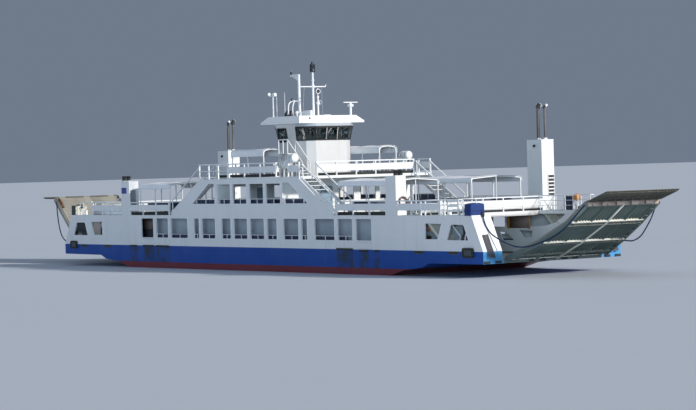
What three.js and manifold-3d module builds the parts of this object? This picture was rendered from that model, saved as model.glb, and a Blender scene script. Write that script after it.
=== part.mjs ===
// Double-ended passenger and car ferry, half size: millimetres, +Z up, +X towards the lowered ramp,
// -Y the side with the short exhaust towers. The origin lies on the waterline amidships.
import * as THREE from "three";
import { mergeVertices } from "three/addons/utils/BufferGeometryUtils.js";
import Module from "manifold-3d";

const wasm = await Module();
wasm.setup();
const group = new THREE.Group();
group.name = "ferry";

// Shared sizes
const HALF_BEAM = 3000;
const DECK_Z = 600;
const CASING = { inner: 2200, topEnd: 12990, bottomEnd: 13540, kneeZ: 867, topZ: 2010 };
const PASSENGER_DECK = { end: 10300, bottom: 2010, top: 2050 };
const TOP_DECK = { end: 3300, bottom: 3345, top: 3400 };
const ENDS = { left: -1, right: 1 };
const SIDES = { near: -1, far: 1 };

// Turning a three.js shape into a solid and joining solids
function solid(geometry) {
  const bare = geometry.index ? geometry.toNonIndexed() : geometry.clone();
  bare.deleteAttribute("normal");
  bare.deleteAttribute("uv");
  const merged = mergeVertices(bare, 1e-3);
  return new wasm.Manifold(new wasm.Mesh({
    numProp: 3,
    vertProperties: Float32Array.from(merged.attributes.position.array),
    triVerts: Uint32Array.from(merged.index.array),
  }));
}

function join(parts) {
  return parts.reduce((whole, part) => whole.add(part));
}

function addNode(name, shape, color) {
  const mesh = shape.getMesh();
  const geometry = new THREE.BufferGeometry();
  const xyz = new Float32Array((mesh.vertProperties.length / mesh.numProp) * 3);
  for (let i = 0; i < xyz.length / 3; i++) {
    for (let k = 0; k < 3; k++) xyz[3 * i + k] = mesh.vertProperties[i * mesh.numProp + k];
  }
  geometry.setAttribute("position", new THREE.BufferAttribute(xyz, 3));
  geometry.setIndex(new THREE.BufferAttribute(Uint32Array.from(mesh.triVerts), 1));
  geometry.computeVertexNormals();
  const part = new THREE.Mesh(geometry, new THREE.MeshStandardMaterial({ color }));
  part.name = name;
  group.add(part);
}

// Basic solids: boxes, plates cut from a flat shape, round tubes and square bars
function box(x0, x1, y0, y1, z0, z1) {
  const geometry = new THREE.BoxGeometry(Math.abs(x1 - x0), Math.abs(y1 - y0), Math.abs(z1 - z0));
  geometry.translate((x0 + x1) / 2, (y0 + y1) / 2, (z0 + z1) / 2);
  return solid(geometry);
}

function prism(plane, points, low, high) {
  const shape = new THREE.Shape(points.map(([a, b]) => new THREE.Vector2(a, b)));
  const geometry = new THREE.ExtrudeGeometry(shape, { depth: high - low, bevelEnabled: false });
  const axes = {
    XZ: [[1, 0, 0], [0, 0, 1], [0, -1, 0], [0, high, 0]],
    XY: [[1, 0, 0], [0, 1, 0], [0, 0, 1], [0, 0, low]],
    YZ: [[0, 1, 0], [0, 0, 1], [1, 0, 0], [low, 0, 0]],
  }[plane].map((v) => new THREE.Vector3(...v));
  geometry.applyMatrix4(new THREE.Matrix4().makeBasis(axes[0], axes[1], axes[2]).setPosition(axes[3]));
  return solid(geometry);
}

function plate(plane, points, holes, low, high) {
  return holes.reduce((whole, hole) => whole.subtract(prism(plane, hole, low - 5, high + 5)),
    prism(plane, points, low, high));
}

function aimed(geometry, from, to) {
  const start = new THREE.Vector3(...from);
  const end = new THREE.Vector3(...to);
  const along = end.clone().sub(start).normalize();
  const helper = Math.abs(along.z) > 0.99 ? new THREE.Vector3(1, 0, 0) : new THREE.Vector3(0, 0, 1);
  const side = helper.clone().cross(along).normalize();
  const up = along.clone().cross(side);
  geometry.applyMatrix4(new THREE.Matrix4().makeBasis(side, up, along)
    .setPosition(start.add(end).multiplyScalar(0.5)));
  return solid(geometry);
}

function bar(from, to, width, height = width) {
  const length = new THREE.Vector3(...from).distanceTo(new THREE.Vector3(...to));
  return aimed(new THREE.BoxGeometry(width, height, length), from, to);
}

function tube(from, to, radius, endRadius = radius, sides = 8) {
  const length = new THREE.Vector3(...from).distanceTo(new THREE.Vector3(...to));
  const geometry = new THREE.CylinderGeometry(endRadius, radius, length, sides);
  geometry.rotateX(Math.PI / 2);
  return aimed(geometry, from, to);
}

function loft(rings) {
  const positions = rings.flat().flat();
  const count = rings[0].length;
  const index = [];
  for (let r = 0; r + 1 < rings.length; r++) {
    for (let i = 0; i < count; i++) {
      const j = (i + 1) % count;
      const [a, b, c, d] = [r * count + i, r * count + j, (r + 1) * count + j, (r + 1) * count + i];
      index.push(a, b, c, a, c, d);
    }
  }
  for (let i = 1; i + 1 < count; i++) {
    index.push(0, i + 1, i);
    const last = (rings.length - 1) * count;
    index.push(last, last + i, last + i + 1);
  }
  const corner = (i) => new THREE.Vector3().fromArray(positions, 3 * i);
  let volume = 0;
  for (let i = 0; i < index.length; i += 3) {
    volume += corner(index[i]).dot(corner(index[i + 1]).cross(corner(index[i + 2])));
  }
  if (volume < 0) index.reverse();
  const geometry = new THREE.BufferGeometry();
  geometry.setAttribute("position", new THREE.Float32BufferAttribute(positions, 3));
  geometry.setIndex(index);
  return solid(geometry);
}

const across = (side, a, b) => [Math.min(side * a, side * b), Math.max(side * a, side * b)];
const mirrored = (points, end) => points.map(([x, z]) => [end * x, z]);
const rectangle = (a0, a1, b0, b1) => [[a0, b0], [a1, b0], [a1, b1], [a0, b1]];

// Hull: raked underside at both ends and a chamfered bilge, decked over as one block
const hullHalf = [[13540, 590], [13540, 461], [10670, 448], [10311, 307], [9231, 190], [8500, 0],
  [7600, -450], [6300, -900]];
const hullSide = plate("XZ", [...hullHalf, ...mirrored(hullHalf, -1).reverse()], [], -HALF_BEAM, HALF_BEAM);
const hullSection = plate("YZ", [[-3000, 590], [-3000, -350], [-2450, -900], [2450, -900], [3000, -350],
  [3000, 590]], [], -13600, 13600);
const RAMP_HINGE = { x: 13600, z: 603, radius: 42, rampHalf: 160, hullHalf: 100,
  places: [-1700, 0, 1700] };
const hullParts = [hullSide.intersect(hullSection)];
for (const end of Object.values(ENDS)) {
  for (const y of RAMP_HINGE.places) {
    for (const [y0, y1] of [[y - 260, y - 160.3], [y + 160.3, y + 260]]) {
      const at = end * RAMP_HINGE.x;
      hullParts.push(tube([at, y0, RAMP_HINGE.z], [at, y1, RAMP_HINGE.z], RAMP_HINGE.radius,
        RAMP_HINGE.radius, 10));
      hullParts.push(box(end * 13500, at, y0, y1, 563, 589));
    }
  }
}
addNode("hull", join(hullParts), 0x1f4f9a);
addNode("car_deck", plate("XY", rectangle(-13540, 13540, -2199.7, 2199.7), [], 590, DECK_Z), 0x4a5350);

// Side casings: outer wall with windows, inner gallery wall, and the slanted ends with their slots
const windowSpans = [[90, 1005], [1187, 1822], [2235, 3183], [3353, 3725], [4157, 5375], [5550, 6435],
  [6625, 7540]];
const gateSpan = [6625, 7540];
const GATE_PIN = { x: 7536, y: 3016, radius: 10 };
const casingOutline = [[13540, 590], [13540, 867], [12990, 2010], [-12990, 2010], [-13540, 867],
  [-13540, 590]];
const endOpenings = [
  [[11877, 1765], [12570, 1760], [12817, 1218], [11664, 1218]],
  [[10505, 1800], [11420, 1785], [11190, 1240], [10500, 1240]],
];
const outerHoles = Object.values(ENDS).flatMap((end) => [
  ...windowSpans.map(([a, b]) => mirrored(rectangle(a, b, 1165, 1940), end)),
  ...endOpenings.map((outline) => mirrored(outline, end)),
]);
const gateHoles = Object.values(ENDS).map((end) => mirrored(rectangle(...gateSpan, 880, 1125), end));
const innerOutline = [[13488, 590], [13488, 867], [12936, 2010], [-12936, 2010], [-13488, 867],
  [-13488, 590]];
const innerHoles = Object.values(ENDS).flatMap((end) => [
  mirrored(rectangle(7750, 9250, 1470, 1930), end),
  mirrored([[9450, 1470], [10600, 1510], [11200, 1640], [11600, 1860], [11650, 1930], [9450, 1930]], end),
  mirrored([[9171, 1356], [9900, 1340], [9888, 1116], [9450, 1090]], end),
  mirrored([[8100, 1300], [8500, 1264], [8912, 1003], [8300, 1000]], end),
]);
for (const [sideName, side] of Object.entries(SIDES)) {
  const holes = side < 0 ? [...outerHoles, ...gateHoles] : outerHoles;
  const outerWall = [plate("XZ", casingOutline, holes, ...across(side, 2950, HALF_BEAM))];
  for (const end of side < 0 ? Object.values(ENDS) : []) {
    outerWall.push(tube([end * GATE_PIN.x, side * GATE_PIN.y, 960.3], [end * GATE_PIN.x, side * GATE_PIN.y,
      1044.7], GATE_PIN.radius));
    outerWall.push(box(end * (GATE_PIN.x - 4), end * (GATE_PIN.x + 40), ...across(side, 2990, GATE_PIN.y + 4),
      975, 1030));
  }
  addNode(`side_wall_${sideName}`, join(outerWall), 0xe8ebee);
  addNode(`gallery_wall_${sideName}`, plate("XZ", innerOutline, innerHoles,
    ...across(side, CASING.inner, 2250)), 0xd8dcdf);
  for (const [endName, end] of Object.entries(ENDS)) {
    const slant = [[13540, 590], [13540, 867], [12990, 2010], [12990, 2050], [10300.3, 2050],
      [10300.3, 2010.3], [12936, 2010.3], [13488, 867], [13488, 590]];
    const [y0, y1] = across(side, CASING.inner, 2949.7);
    const [s0, s1] = across(side, 2420, 2690);
    const [w0, w1] = across(side, 2430, HALF_BEAM);
    const [o0, o1] = across(side, 2420, HALF_BEAM);
    const slotRing = (x) => {
      const points = [];
      for (let i = 0; i < 16; i++) {
        const angle = (Math.PI * i) / 8 + Math.PI / 16;
        const lift = Math.sin(angle) > 0 ? 270 : -270;
        points.push([x, (s0 + s1) / 2 + 125 * Math.cos(angle), 1040 + lift + 125 * Math.sin(angle)]);
      }
      return points;
    };
    const slot = loft([slotRing(12800), slotRing(13700)]);
    const wall = plate("XZ", mirrored(slant, end), [], y0, y1);
    const topStrip = box(end * 10300.3, end * 12990, ...across(side, CASING.inner, HALF_BEAM), 2010.3, 2050);
    const hoist = box(end * 12640, end * 12950, w0 + 20, w1 - 20, 2049, 2400);
    const drum = tube([end * 12680, (o0 + o1) / 2, 2370], [end * 12910, (o0 + o1) / 2, 2370], 85);
    const slotHere = end > 0 ? slot : slot.mirror([1, 0, 0]);
    addNode(`casing_end_${sideName}_${endName}`, join([wall, topStrip, hoist, drum]).subtract(slotHere),
      0xf4f5f6);
  }
}

// Passenger deck over the cars, and its bulwarks on short posts
addNode("passenger_deck", box(-PASSENGER_DECK.end, PASSENGER_DECK.end, -HALF_BEAM, HALF_BEAM,
  PASSENGER_DECK.bottom + 0.3, PASSENGER_DECK.top), 0xdfe2e4);

function bulwarkAlongX(x0, x1, y, base, low, high, rail) {
  const parts = [box(x0, x1, y - 15, y + 15, low, high), box(x0, x1, y - 25, y + 25, rail - 40, rail)];
  const bays = Math.max(1, Math.round(Math.abs(x1 - x0) / 900));
  for (let i = 0; i <= bays; i++) {
    const x = x0 + Math.sign(x1 - x0) * 25 + ((x1 - x0 - Math.sign(x1 - x0) * 50) * i) / bays;
    parts.push(box(x - 22, x + 22, y - 24, y + 24, base, rail - 2));
  }
  return join(parts);
}

function bulwarkAlongY(x, y0, y1, base, low, high, rail) {
  const parts = [box(x - 15, x + 15, y0, y1, low, high), box(x - 25, x + 25, y0, y1, rail - 40, rail)];
  const bays = Math.max(1, Math.round(Math.abs(y1 - y0) / 900));
  for (let i = 0; i <= bays; i++) {
    const y = y0 + 25 + ((y1 - y0 - 50) * i) / bays;
    parts.push(box(x - 24, x + 24, y - 22, y + 22, base, rail - 2));
  }
  return join(parts);
}

for (const [endName, end] of Object.entries(ENDS)) {
  const levels = [PASSENGER_DECK.top, 2215, 2450, 2560];
  addNode(`deck_bulwark_near_${endName}`, bulwarkAlongX(end * 5480, end * 8380, -2970, ...levels), 0xf2f4f5);
  addNode(`deck_bulwark_far_${endName}`, bulwarkAlongX(end * 5480, end * 9440, 2970, ...levels), 0xf2f4f5);
  addNode(`deck_bulwark_end_${endName}`, join([
    bulwarkAlongX(end * 8975, end * 11300, -2970, ...levels),
    bulwarkAlongY(end * 10270, -2994, 2430, ...levels),
  ]), 0xf2f4f5);
}

// Cabin amidships: side walls with slanted ends and windows, cross walls with doorways, top deck over it
const cabinHoles = [[90, 1010], [1167, 2100]].flatMap(([a, b]) => [rectangle(a, b, 2462, 3215),
  mirrored(rectangle(a, b, 2462, 3215), -1)]);
const slantHole = [[2220, 3240], [2635, 3240], [3770, 2500], [3770, 2462], [2220, 2462]];
cabinHoles.push(slantHole, mirrored(slantHole, -1));
const cabinOutline = [[5330, 2050.3], [3310, 3344.7], [-3310, 3344.7], [-5330, 2050.3]];
const cabinParts = Object.values(SIDES).map((side) =>
  plate("XZ", cabinOutline, cabinHoles, ...across(side, 2950, HALF_BEAM)));
for (const end of Object.values(ENDS)) {
  const wallHoles = [rectangle(-1200, -720, 2060, 3060), rectangle(-400, 300, 2520, 3100),
    rectangle(600, 1300, 2520, 3100), rectangle(1500, 2200, 2520, 3100), rectangle(-2200, -1500, 2520, 3100)];
  wallHoles[0] = rectangle(-1200, -720, 2080, 3060);
  const span = [Math.min(end * 2050, end * 2100), Math.max(end * 2050, end * 2100)];
  cabinParts.push(plate("YZ", rectangle(-2975, 2975, 2050.3, 3344.7), wallHoles, ...span));
}
const CABIN_PIN = { x: 2142, y: -1238, radius: 8, heights: [2250, 2870] };
for (const end of Object.values(ENDS)) {
  for (const z of CABIN_PIN.heights) {
    cabinParts.push(tube([end * CABIN_PIN.x, CABIN_PIN.y, z], [end * CABIN_PIN.x, CABIN_PIN.y, z + 60],
      CABIN_PIN.radius));
    cabinParts.push(box(end * 2090, end * CABIN_PIN.x, CABIN_PIN.y - 6, CABIN_PIN.y + 2, z + 5, z + 55));
  }
}
addNode("cabin_walls", join(cabinParts), 0xe6e9ec);
for (const [endName, end] of Object.entries(ENDS)) {
  const parts = [
    box(end * 2106, end * 2136, -1230, -700, 2070, 3050),
    box(end * 2130, end * 2170, -780, -750, 2520, 2680),
  ];
  for (const z of CABIN_PIN.heights) {
    parts.push(tube([end * CABIN_PIN.x, CABIN_PIN.y, z + 60.3], [end * CABIN_PIN.x, CABIN_PIN.y, z + 120],
      CABIN_PIN.radius));
    parts.push(box(end * 2131, end * (CABIN_PIN.x + 4), CABIN_PIN.y, -1215, z + 64, z + 116));
  }
  addNode(`cabin_door_${endName}`, join(parts), 0x7f9ab0);
}
addNode("top_deck", box(-TOP_DECK.end, TOP_DECK.end, -HALF_BEAM, HALF_BEAM, TOP_DECK.bottom, TOP_DECK.top),
  0xe6e9eb);
function railAlongX(x0, x1, y, base, rail) {
  const middle = (base + rail) / 2;
  const parts = [box(x0, x1, y - 25, y + 25, rail - 40, rail), box(x0, x1, y - 15, y + 15, middle, middle + 30)];
  const bays = Math.max(1, Math.round(Math.abs(x1 - x0) / 700));
  for (let i = 0; i <= bays; i++) {
    const x = x0 + 25 + ((x1 - x0 - 50) * i) / bays;
    parts.push(box(x - 22, x + 22, y - 24, y + 24, base, rail - 2));
  }
  return join(parts);
}

// Top deck edges: railed at the left, panelled from amidships to the right end
const topLevels = [TOP_DECK.top, 3600, 3840, 3965];
const topEnd = (end) => [
  bulwarkAlongY(end * 3270, -2230, 2230, ...topLevels),
  box(end * 3252, end * 3288, -2988, 2988, 3400, 3440),
];
addNode("top_bulwark_left", join([
  ...Object.values(SIDES).map((side) => railAlongX(-3295, -1320, side * 2970, TOP_DECK.top, 3965)),
  ...topEnd(ENDS.left),
]), 0xf3f5f6);
addNode("top_bulwark_right", join([
  ...Object.values(SIDES).flatMap((side) => [
    bulwarkAlongX(-1285, 1840, side * 2970, ...topLevels),
    bulwarkAlongX(2565, 3295, side * 2970, ...topLevels),
    box(-1282, 3291, ...across(side, 2952, 2988), 3400, 3440),
  ]),
  ...topEnd(ENDS.right),
]), 0xf3f5f6);

// Outside stairs beside the slanted cabin ends
for (const [sideName, side] of Object.entries(SIDES)) {
  for (const [endName, end] of Object.entries(ENDS)) {
    const foot = [end * 5380, 2051];
    const head = [end * 3330, 3380];
    const parts = [];
    for (const y of [2905, 2255]) {
      parts.push(bar([foot[0], side * y, foot[1] + 75], [head[0], side * y, head[1] - 40], 30, 130));
      parts.push(bar([foot[0], side * y, foot[1] + 560], [head[0], side * y, head[1] + 500], 36, 36));
      parts.push(box(foot[0] - 60, foot[0] + 60, side * y - 15, side * y + 15, 2050.3, foot[1] + 120));
      parts.push(box(end * 3300.3, head[0] + end * 20, side * y - 15, side * y + 15, 3250, 3400));
      for (const share of [0.02, 0.97]) {
        const x = foot[0] + (head[0] - foot[0]) * share;
        const z = foot[1] + (head[1] - foot[1]) * share;
        parts.push(box(x - 15, x + 15, side * y - 15, side * y + 15, z + 20, z + 555));
      }
    }
    for (let i = 1; i < 9; i++) {
      const x = foot[0] + (head[0] - foot[0]) * (i / 9);
      const z = foot[1] + (head[1] - foot[1]) * (i / 9);
      parts.push(box(x - 70, x + 70, ...across(side, 2260, 2900), z + 5, z + 25));
    }
    addNode(`stair_${sideName}_${endName}`, join(parts), 0xdfe3e6);
  }
}

// Exhaust towers: two short ones with stub pipes, two tall ones with long capped pipes
for (const [endName, end] of Object.entries(ENDS)) {
  const short = join([
    box(end * 8390, end * 8960, -HALF_BEAM, -2560, 2050.3, 3390),
    tube([end * 8870, -2912, 3300], [end * 8870, -2912, 3585], 76, 76, 12),
    tube([end * 8870, -2715, 3300], [end * 8870, -2715, 3585], 76, 76, 12),
  ]).subtract(box(end * 8340, end * 8450, -2955, -2653, 2418, 3040));
  addNode(`exhaust_tower_near_${endName}`, short, 0xeceef0);
  const parts = [box(end * 9450, end * 10230, 2450, HALF_BEAM, 2050.3, 4500)];
  for (const [x, y, top, head] of [[9640, 2840, 5640, 74], [9990, 2840, 5640, 48]]) {
    parts.push(tube([end * x, y, 4400], [end * x, y, top], 38));
    parts.push(tube([end * (x - 12), y - 24, top - 30], [end * (x + 40), y + 90, top + 60 + head / 2], head));
  }
  addNode(`exhaust_tower_far_${endName}`, join(parts), 0xeceef0);
}

// Canopies: a sheet with short skirts over tube hoops, some with a post under the crown of each hoop
const SHEET = {
  passenger: { base: 2050.3, low: 3050, knee: 3180, brow: 3240, crown: 3300, turn: 60, middle: true },
  top: { base: 3400.3, low: 4200, knee: 4350, brow: 4460, crown: 4493, turn: 110, middle: false },
};
function canopy([x0, x1], [y0, y1], hoops, { base, low, knee, brow, crown, turn, middle }) {
  const mid = (y0 + y1) / 2;
  const arch = (out) => [[y0 - out, low], [y0 - out, knee], [y0 + turn - out / 2, brow + out], [mid, crown + out],
    [y1 - turn + out / 2, brow + out], [y1 + out, knee], [y1 + out, low]];
  const band = (outer, inner, from, to) => plate("YZ", [...arch(outer), ...arch(inner).reverse()], [], from, to);
  const parts = [band(20, -12, x0, x1)];
  for (const x of hoops) {
    parts.push(band(0, -52, x - 24, x + 24));
    for (const y of [y0 + 26, y1 - 26]) parts.push(box(x - 24, x + 24, y - 26, y + 26, base, low + 20));
    if (middle) parts.push(box(x - 22, x + 22, mid - 22, mid + 22, base, crown - 30));
  }
  return join(parts);
}

const CANOPIES = {
  near_left: { x: [-8035, -5775], y: [-2742, -745], hoops: [-7995, -6905, -5815] },
  near_right: { x: [5190, 8375], y: [-2660, -660], hoops: [5480, 6908, 8335] },
  far_left: { x: [-8540, -5440], y: [657, 2937], hoops: [-8500, -6990, -5480] },
  far_right: { x: [5440, 8540], y: [657, 2937], hoops: [5480, 6990, 8500] },
};
for (const [place, { x, y, hoops }] of Object.entries(CANOPIES)) {
  addNode(`canopy_${place}`, canopy(x, y, hoops, SHEET.passenger), 0xeef0f1);
}
addNode("top_canopy_left", canopy([-2360, -200], [-2120, -1300], [-2320, -1280, -240], SHEET.top), 0xeef0f1);
addNode("top_canopy_right", canopy([200, 2400], [1300, 2120], [240, 1300, 2360], SHEET.top), 0xeef0f1);

// Liferafts in racks at both edges of the top deck
for (const [sideName, side] of Object.entries(SIDES)) {
  const parts = [];
  for (const [x, z] of [[1800, 3880], [2300, 4100]]) {
    parts.push(tube([x - 245, side * 2600, z], [x + 245, side * 2600, z], 165, 165, 14));
    for (const dx of [-150, 150]) {
      parts.push(box(x + dx - 20, x + dx + 20, ...across(side, 2480, 2720), 3400.3, z - 100));
    }
  }
  parts.push(box(1600, 2500, ...across(side, 2580, 2620), 3440, 3490));
  addNode(`liferafts_${sideName}`, join(parts), 0xf7f7f5);
}

// Wheelhouse: tower with a doorway, leaning window band, and the overhanging roof
const CORNERS = [[620, 1160], [980, 1000], [1193, 709], [1193, -709], [980, -1000], [620, -1160],
  [-540, -1160], [-860, -920], [-1150, -650], [-1150, 650], [-860, 920], [-540, 1160]];
const ringAt = (z, grow) => CORNERS.map(([x, y]) => {
  const reach = Math.hypot(x, y);
  return [x * (1 + grow / reach), y * (1 + grow / reach), z];
}).reverse();
const towerOuter = loft([ringAt(3400.3, 0), ringAt(4740, 0)]);
const towerInner = loft([ringAt(3300, -60), ringAt(4690, -60)]);
const TOWER_PIN = { x: -456, y: 1202, radius: 8, heights: [3600, 4200] };
const towerParts = [towerOuter.subtract(towerInner).subtract(box(-430, 20, 1000, 1300, 3430, 4430))];
const towerDoor = [box(-448, 38, 1166, 1196, 3422, 4438), box(-40, -10, 1190, 1232, 3860, 4020)];
for (const z of TOWER_PIN.heights) {
  towerParts.push(tube([TOWER_PIN.x, TOWER_PIN.y, z], [TOWER_PIN.x, TOWER_PIN.y, z + 60], TOWER_PIN.radius));
  towerParts.push(box(TOWER_PIN.x - 6, TOWER_PIN.x + 2, 1150, TOWER_PIN.y, z + 5, z + 55));
  towerDoor.push(tube([TOWER_PIN.x, TOWER_PIN.y, z + 60.3], [TOWER_PIN.x, TOWER_PIN.y, z + 120],
    TOWER_PIN.radius));
  towerDoor.push(box(TOWER_PIN.x, -430, 1190, TOWER_PIN.y + 4, z + 64, z + 116));
}
addNode("wheelhouse_tower", join(towerParts), 0xeff1f2);
addNode("tower_door", join(towerDoor), 0x8da2b3);
const bandOuter = loft([ringAt(4740.3, 0), ringAt(5382, 142)]);
const bandInner = loft([ringAt(4785, -45), ringAt(5400, 88)]);
const windowCuts = [-1, 1].map((side) => box(-515, 62, ...across(side, 900, 1600), 4772, 5214));
const facets = [[2, 3], [1, 2], [3, 4], [0, 1], [4, 5], [8, 9], [9, 10], [7, 8], [10, 11], [6, 7]];
for (const [from, to] of facets) {
  const [start, finish] = [CORNERS[from], CORNERS[to]];
  const length = Math.hypot(finish[0] - start[0], finish[1] - start[1]);
  const panes = length > 1000 ? 3 : 1;
  for (let i = 0; i < panes; i++) {
    const share = (i + 0.5) / panes;
    const pane = new THREE.BoxGeometry(length / panes - 34, 420, 442);
    pane.rotateZ(Math.atan2(finish[1] - start[1], finish[0] - start[0]));
    pane.translate((start[0] + (finish[0] - start[0]) * share) * 1.06,
      (start[1] + (finish[1] - start[1]) * share) * 1.06, 4993);
    windowCuts.push(solid(pane));
  }
}
addNode("wheelhouse", windowCuts.reduce((whole, cut) => whole.subtract(cut), bandOuter.subtract(bandInner)),
  0xeceff1);
const roofRing = (x, y, z) => [[x, y, z], [-x, y, z], [-x, -y, z], [x, -y, z]];
addNode("wheelhouse_roof", loft([roofRing(1256, 1485, 5382.3), roofRing(1256, 1485, 5450),
  roofRing(1000, 1306, 5660)]), 0xf2f4f5);

// Small platform and stair at the near side of the wheelhouse tower
const PLATFORM = { x0: -40, x1: 555, inner: -1165, outer: -1560, z: 4290, foot: 1505 };
const stairParts = [box(PLATFORM.x0, PLATFORM.x1, PLATFORM.outer, PLATFORM.inner, 4270, PLATFORM.z)];
for (const y of [PLATFORM.outer + 15, -1195]) {
  stairParts.push(bar([PLATFORM.x1 - 30, y, 4250], [PLATFORM.foot - 70, y, 3445], 26, 80));
  stairParts.push(box(PLATFORM.foot - 110, PLATFORM.foot + 5, y - 13, y + 13, 3400.3, 3460));
  stairParts.push(bar([PLATFORM.x1 - 10, y, 4790], [PLATFORM.foot - 10, y, 3900], 30, 30));
  stairParts.push(box(PLATFORM.foot - 40, PLATFORM.foot - 14, y - 13, y + 13, 3402, 3925));
  stairParts.push(box(PLATFORM.x1 - 26, PLATFORM.x1, y - 13, y + 13, 4272, 4800));
}
for (const x of [PLATFORM.x0 + 13, (PLATFORM.x0 + PLATFORM.x1) / 2]) {
  stairParts.push(box(x - 13, x + 13, PLATFORM.outer + 2, PLATFORM.outer + 28, 4272, 4800));
}
stairParts.push(box(PLATFORM.x0, PLATFORM.x1, PLATFORM.outer, PLATFORM.outer + 30, 4775, 4805));
stairParts.push(box(PLATFORM.x0, PLATFORM.x0 + 28, PLATFORM.outer + 2, PLATFORM.outer + 28, 3400.3, 4280));
for (let i = 1; i < 8; i++) {
  const x = PLATFORM.x1 + ((PLATFORM.foot - 30 - PLATFORM.x1) * i) / 8;
  const z = 4270 - (860 * i) / 8;
  stairParts.push(box(x - 55, x + 55, PLATFORM.outer + 10, -1190, z, z + 18));
}
addNode("wheelhouse_stair", join(stairParts), 0xeef0f1);

// Masts and radar on the roof
addNode("pole_mast", join([
  tube([-800, 0, 5650], [-800, 0, 7260], 55, 50, 10),
  tube([-840, 0, 7225], [-1320, 0, 7225], 42, 42, 10),
  tube([-1290, 0, 7200], [-1290, 0, 7400], 30, 30, 10),
]).subtract(box(-900, -700, -100, 100, 5600, 5660.3)), 0xf4f5f6);
addNode("lantern_mast", join([
  tube([100, 0, 5660.3], [100, 0, 7330], 48, 36, 10),
  tube([100, -570, 6760], [100, 570, 6760], 22, 22, 8),
  tube([100, -560, 6752], [100, -640, 6840], 18, 18, 8),
  tube([100, 560, 6752], [100, 600, 6830], 18, 18, 8),
  tube([100, 0, 7310], [100, 0, 7590], 95, 95, 12),
  tube([100, 0, 7580], [100, 0, 7690], 35, 30, 10),
]), 0xf4f5f6);
addNode("searchlight_mast", join([
  tube([-810, -1180, 5660.3], [-810, -1180, 6450], 32, 26, 10),
  tube([-940, -1230, 6440], [-660, -1130, 6440], 20, 20, 8),
  tube([-800, -1180, 6505], [-600, -1110, 6505], 60, 64, 12),
  tube([-960, -1236, 6500], [-890, -1212, 6500], 44, 48, 12),
]), 0xf4f5f6);
addNode("radar_post", join([
  tube([850, 1170, 5660.3], [850, 1170, 6010], 45, 45, 12),
  box(770, 930, 1090, 1250, 5980, 6060),
]), 0xf4f5f6);
addNode("radar_scanner", join([
  tube([850, 1170, 6060.3], [850, 1170, 6110], 30, 30, 12),
  box(815, 885, 830, 1510, 6100, 6165),
]), 0xf7f7f7);

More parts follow.
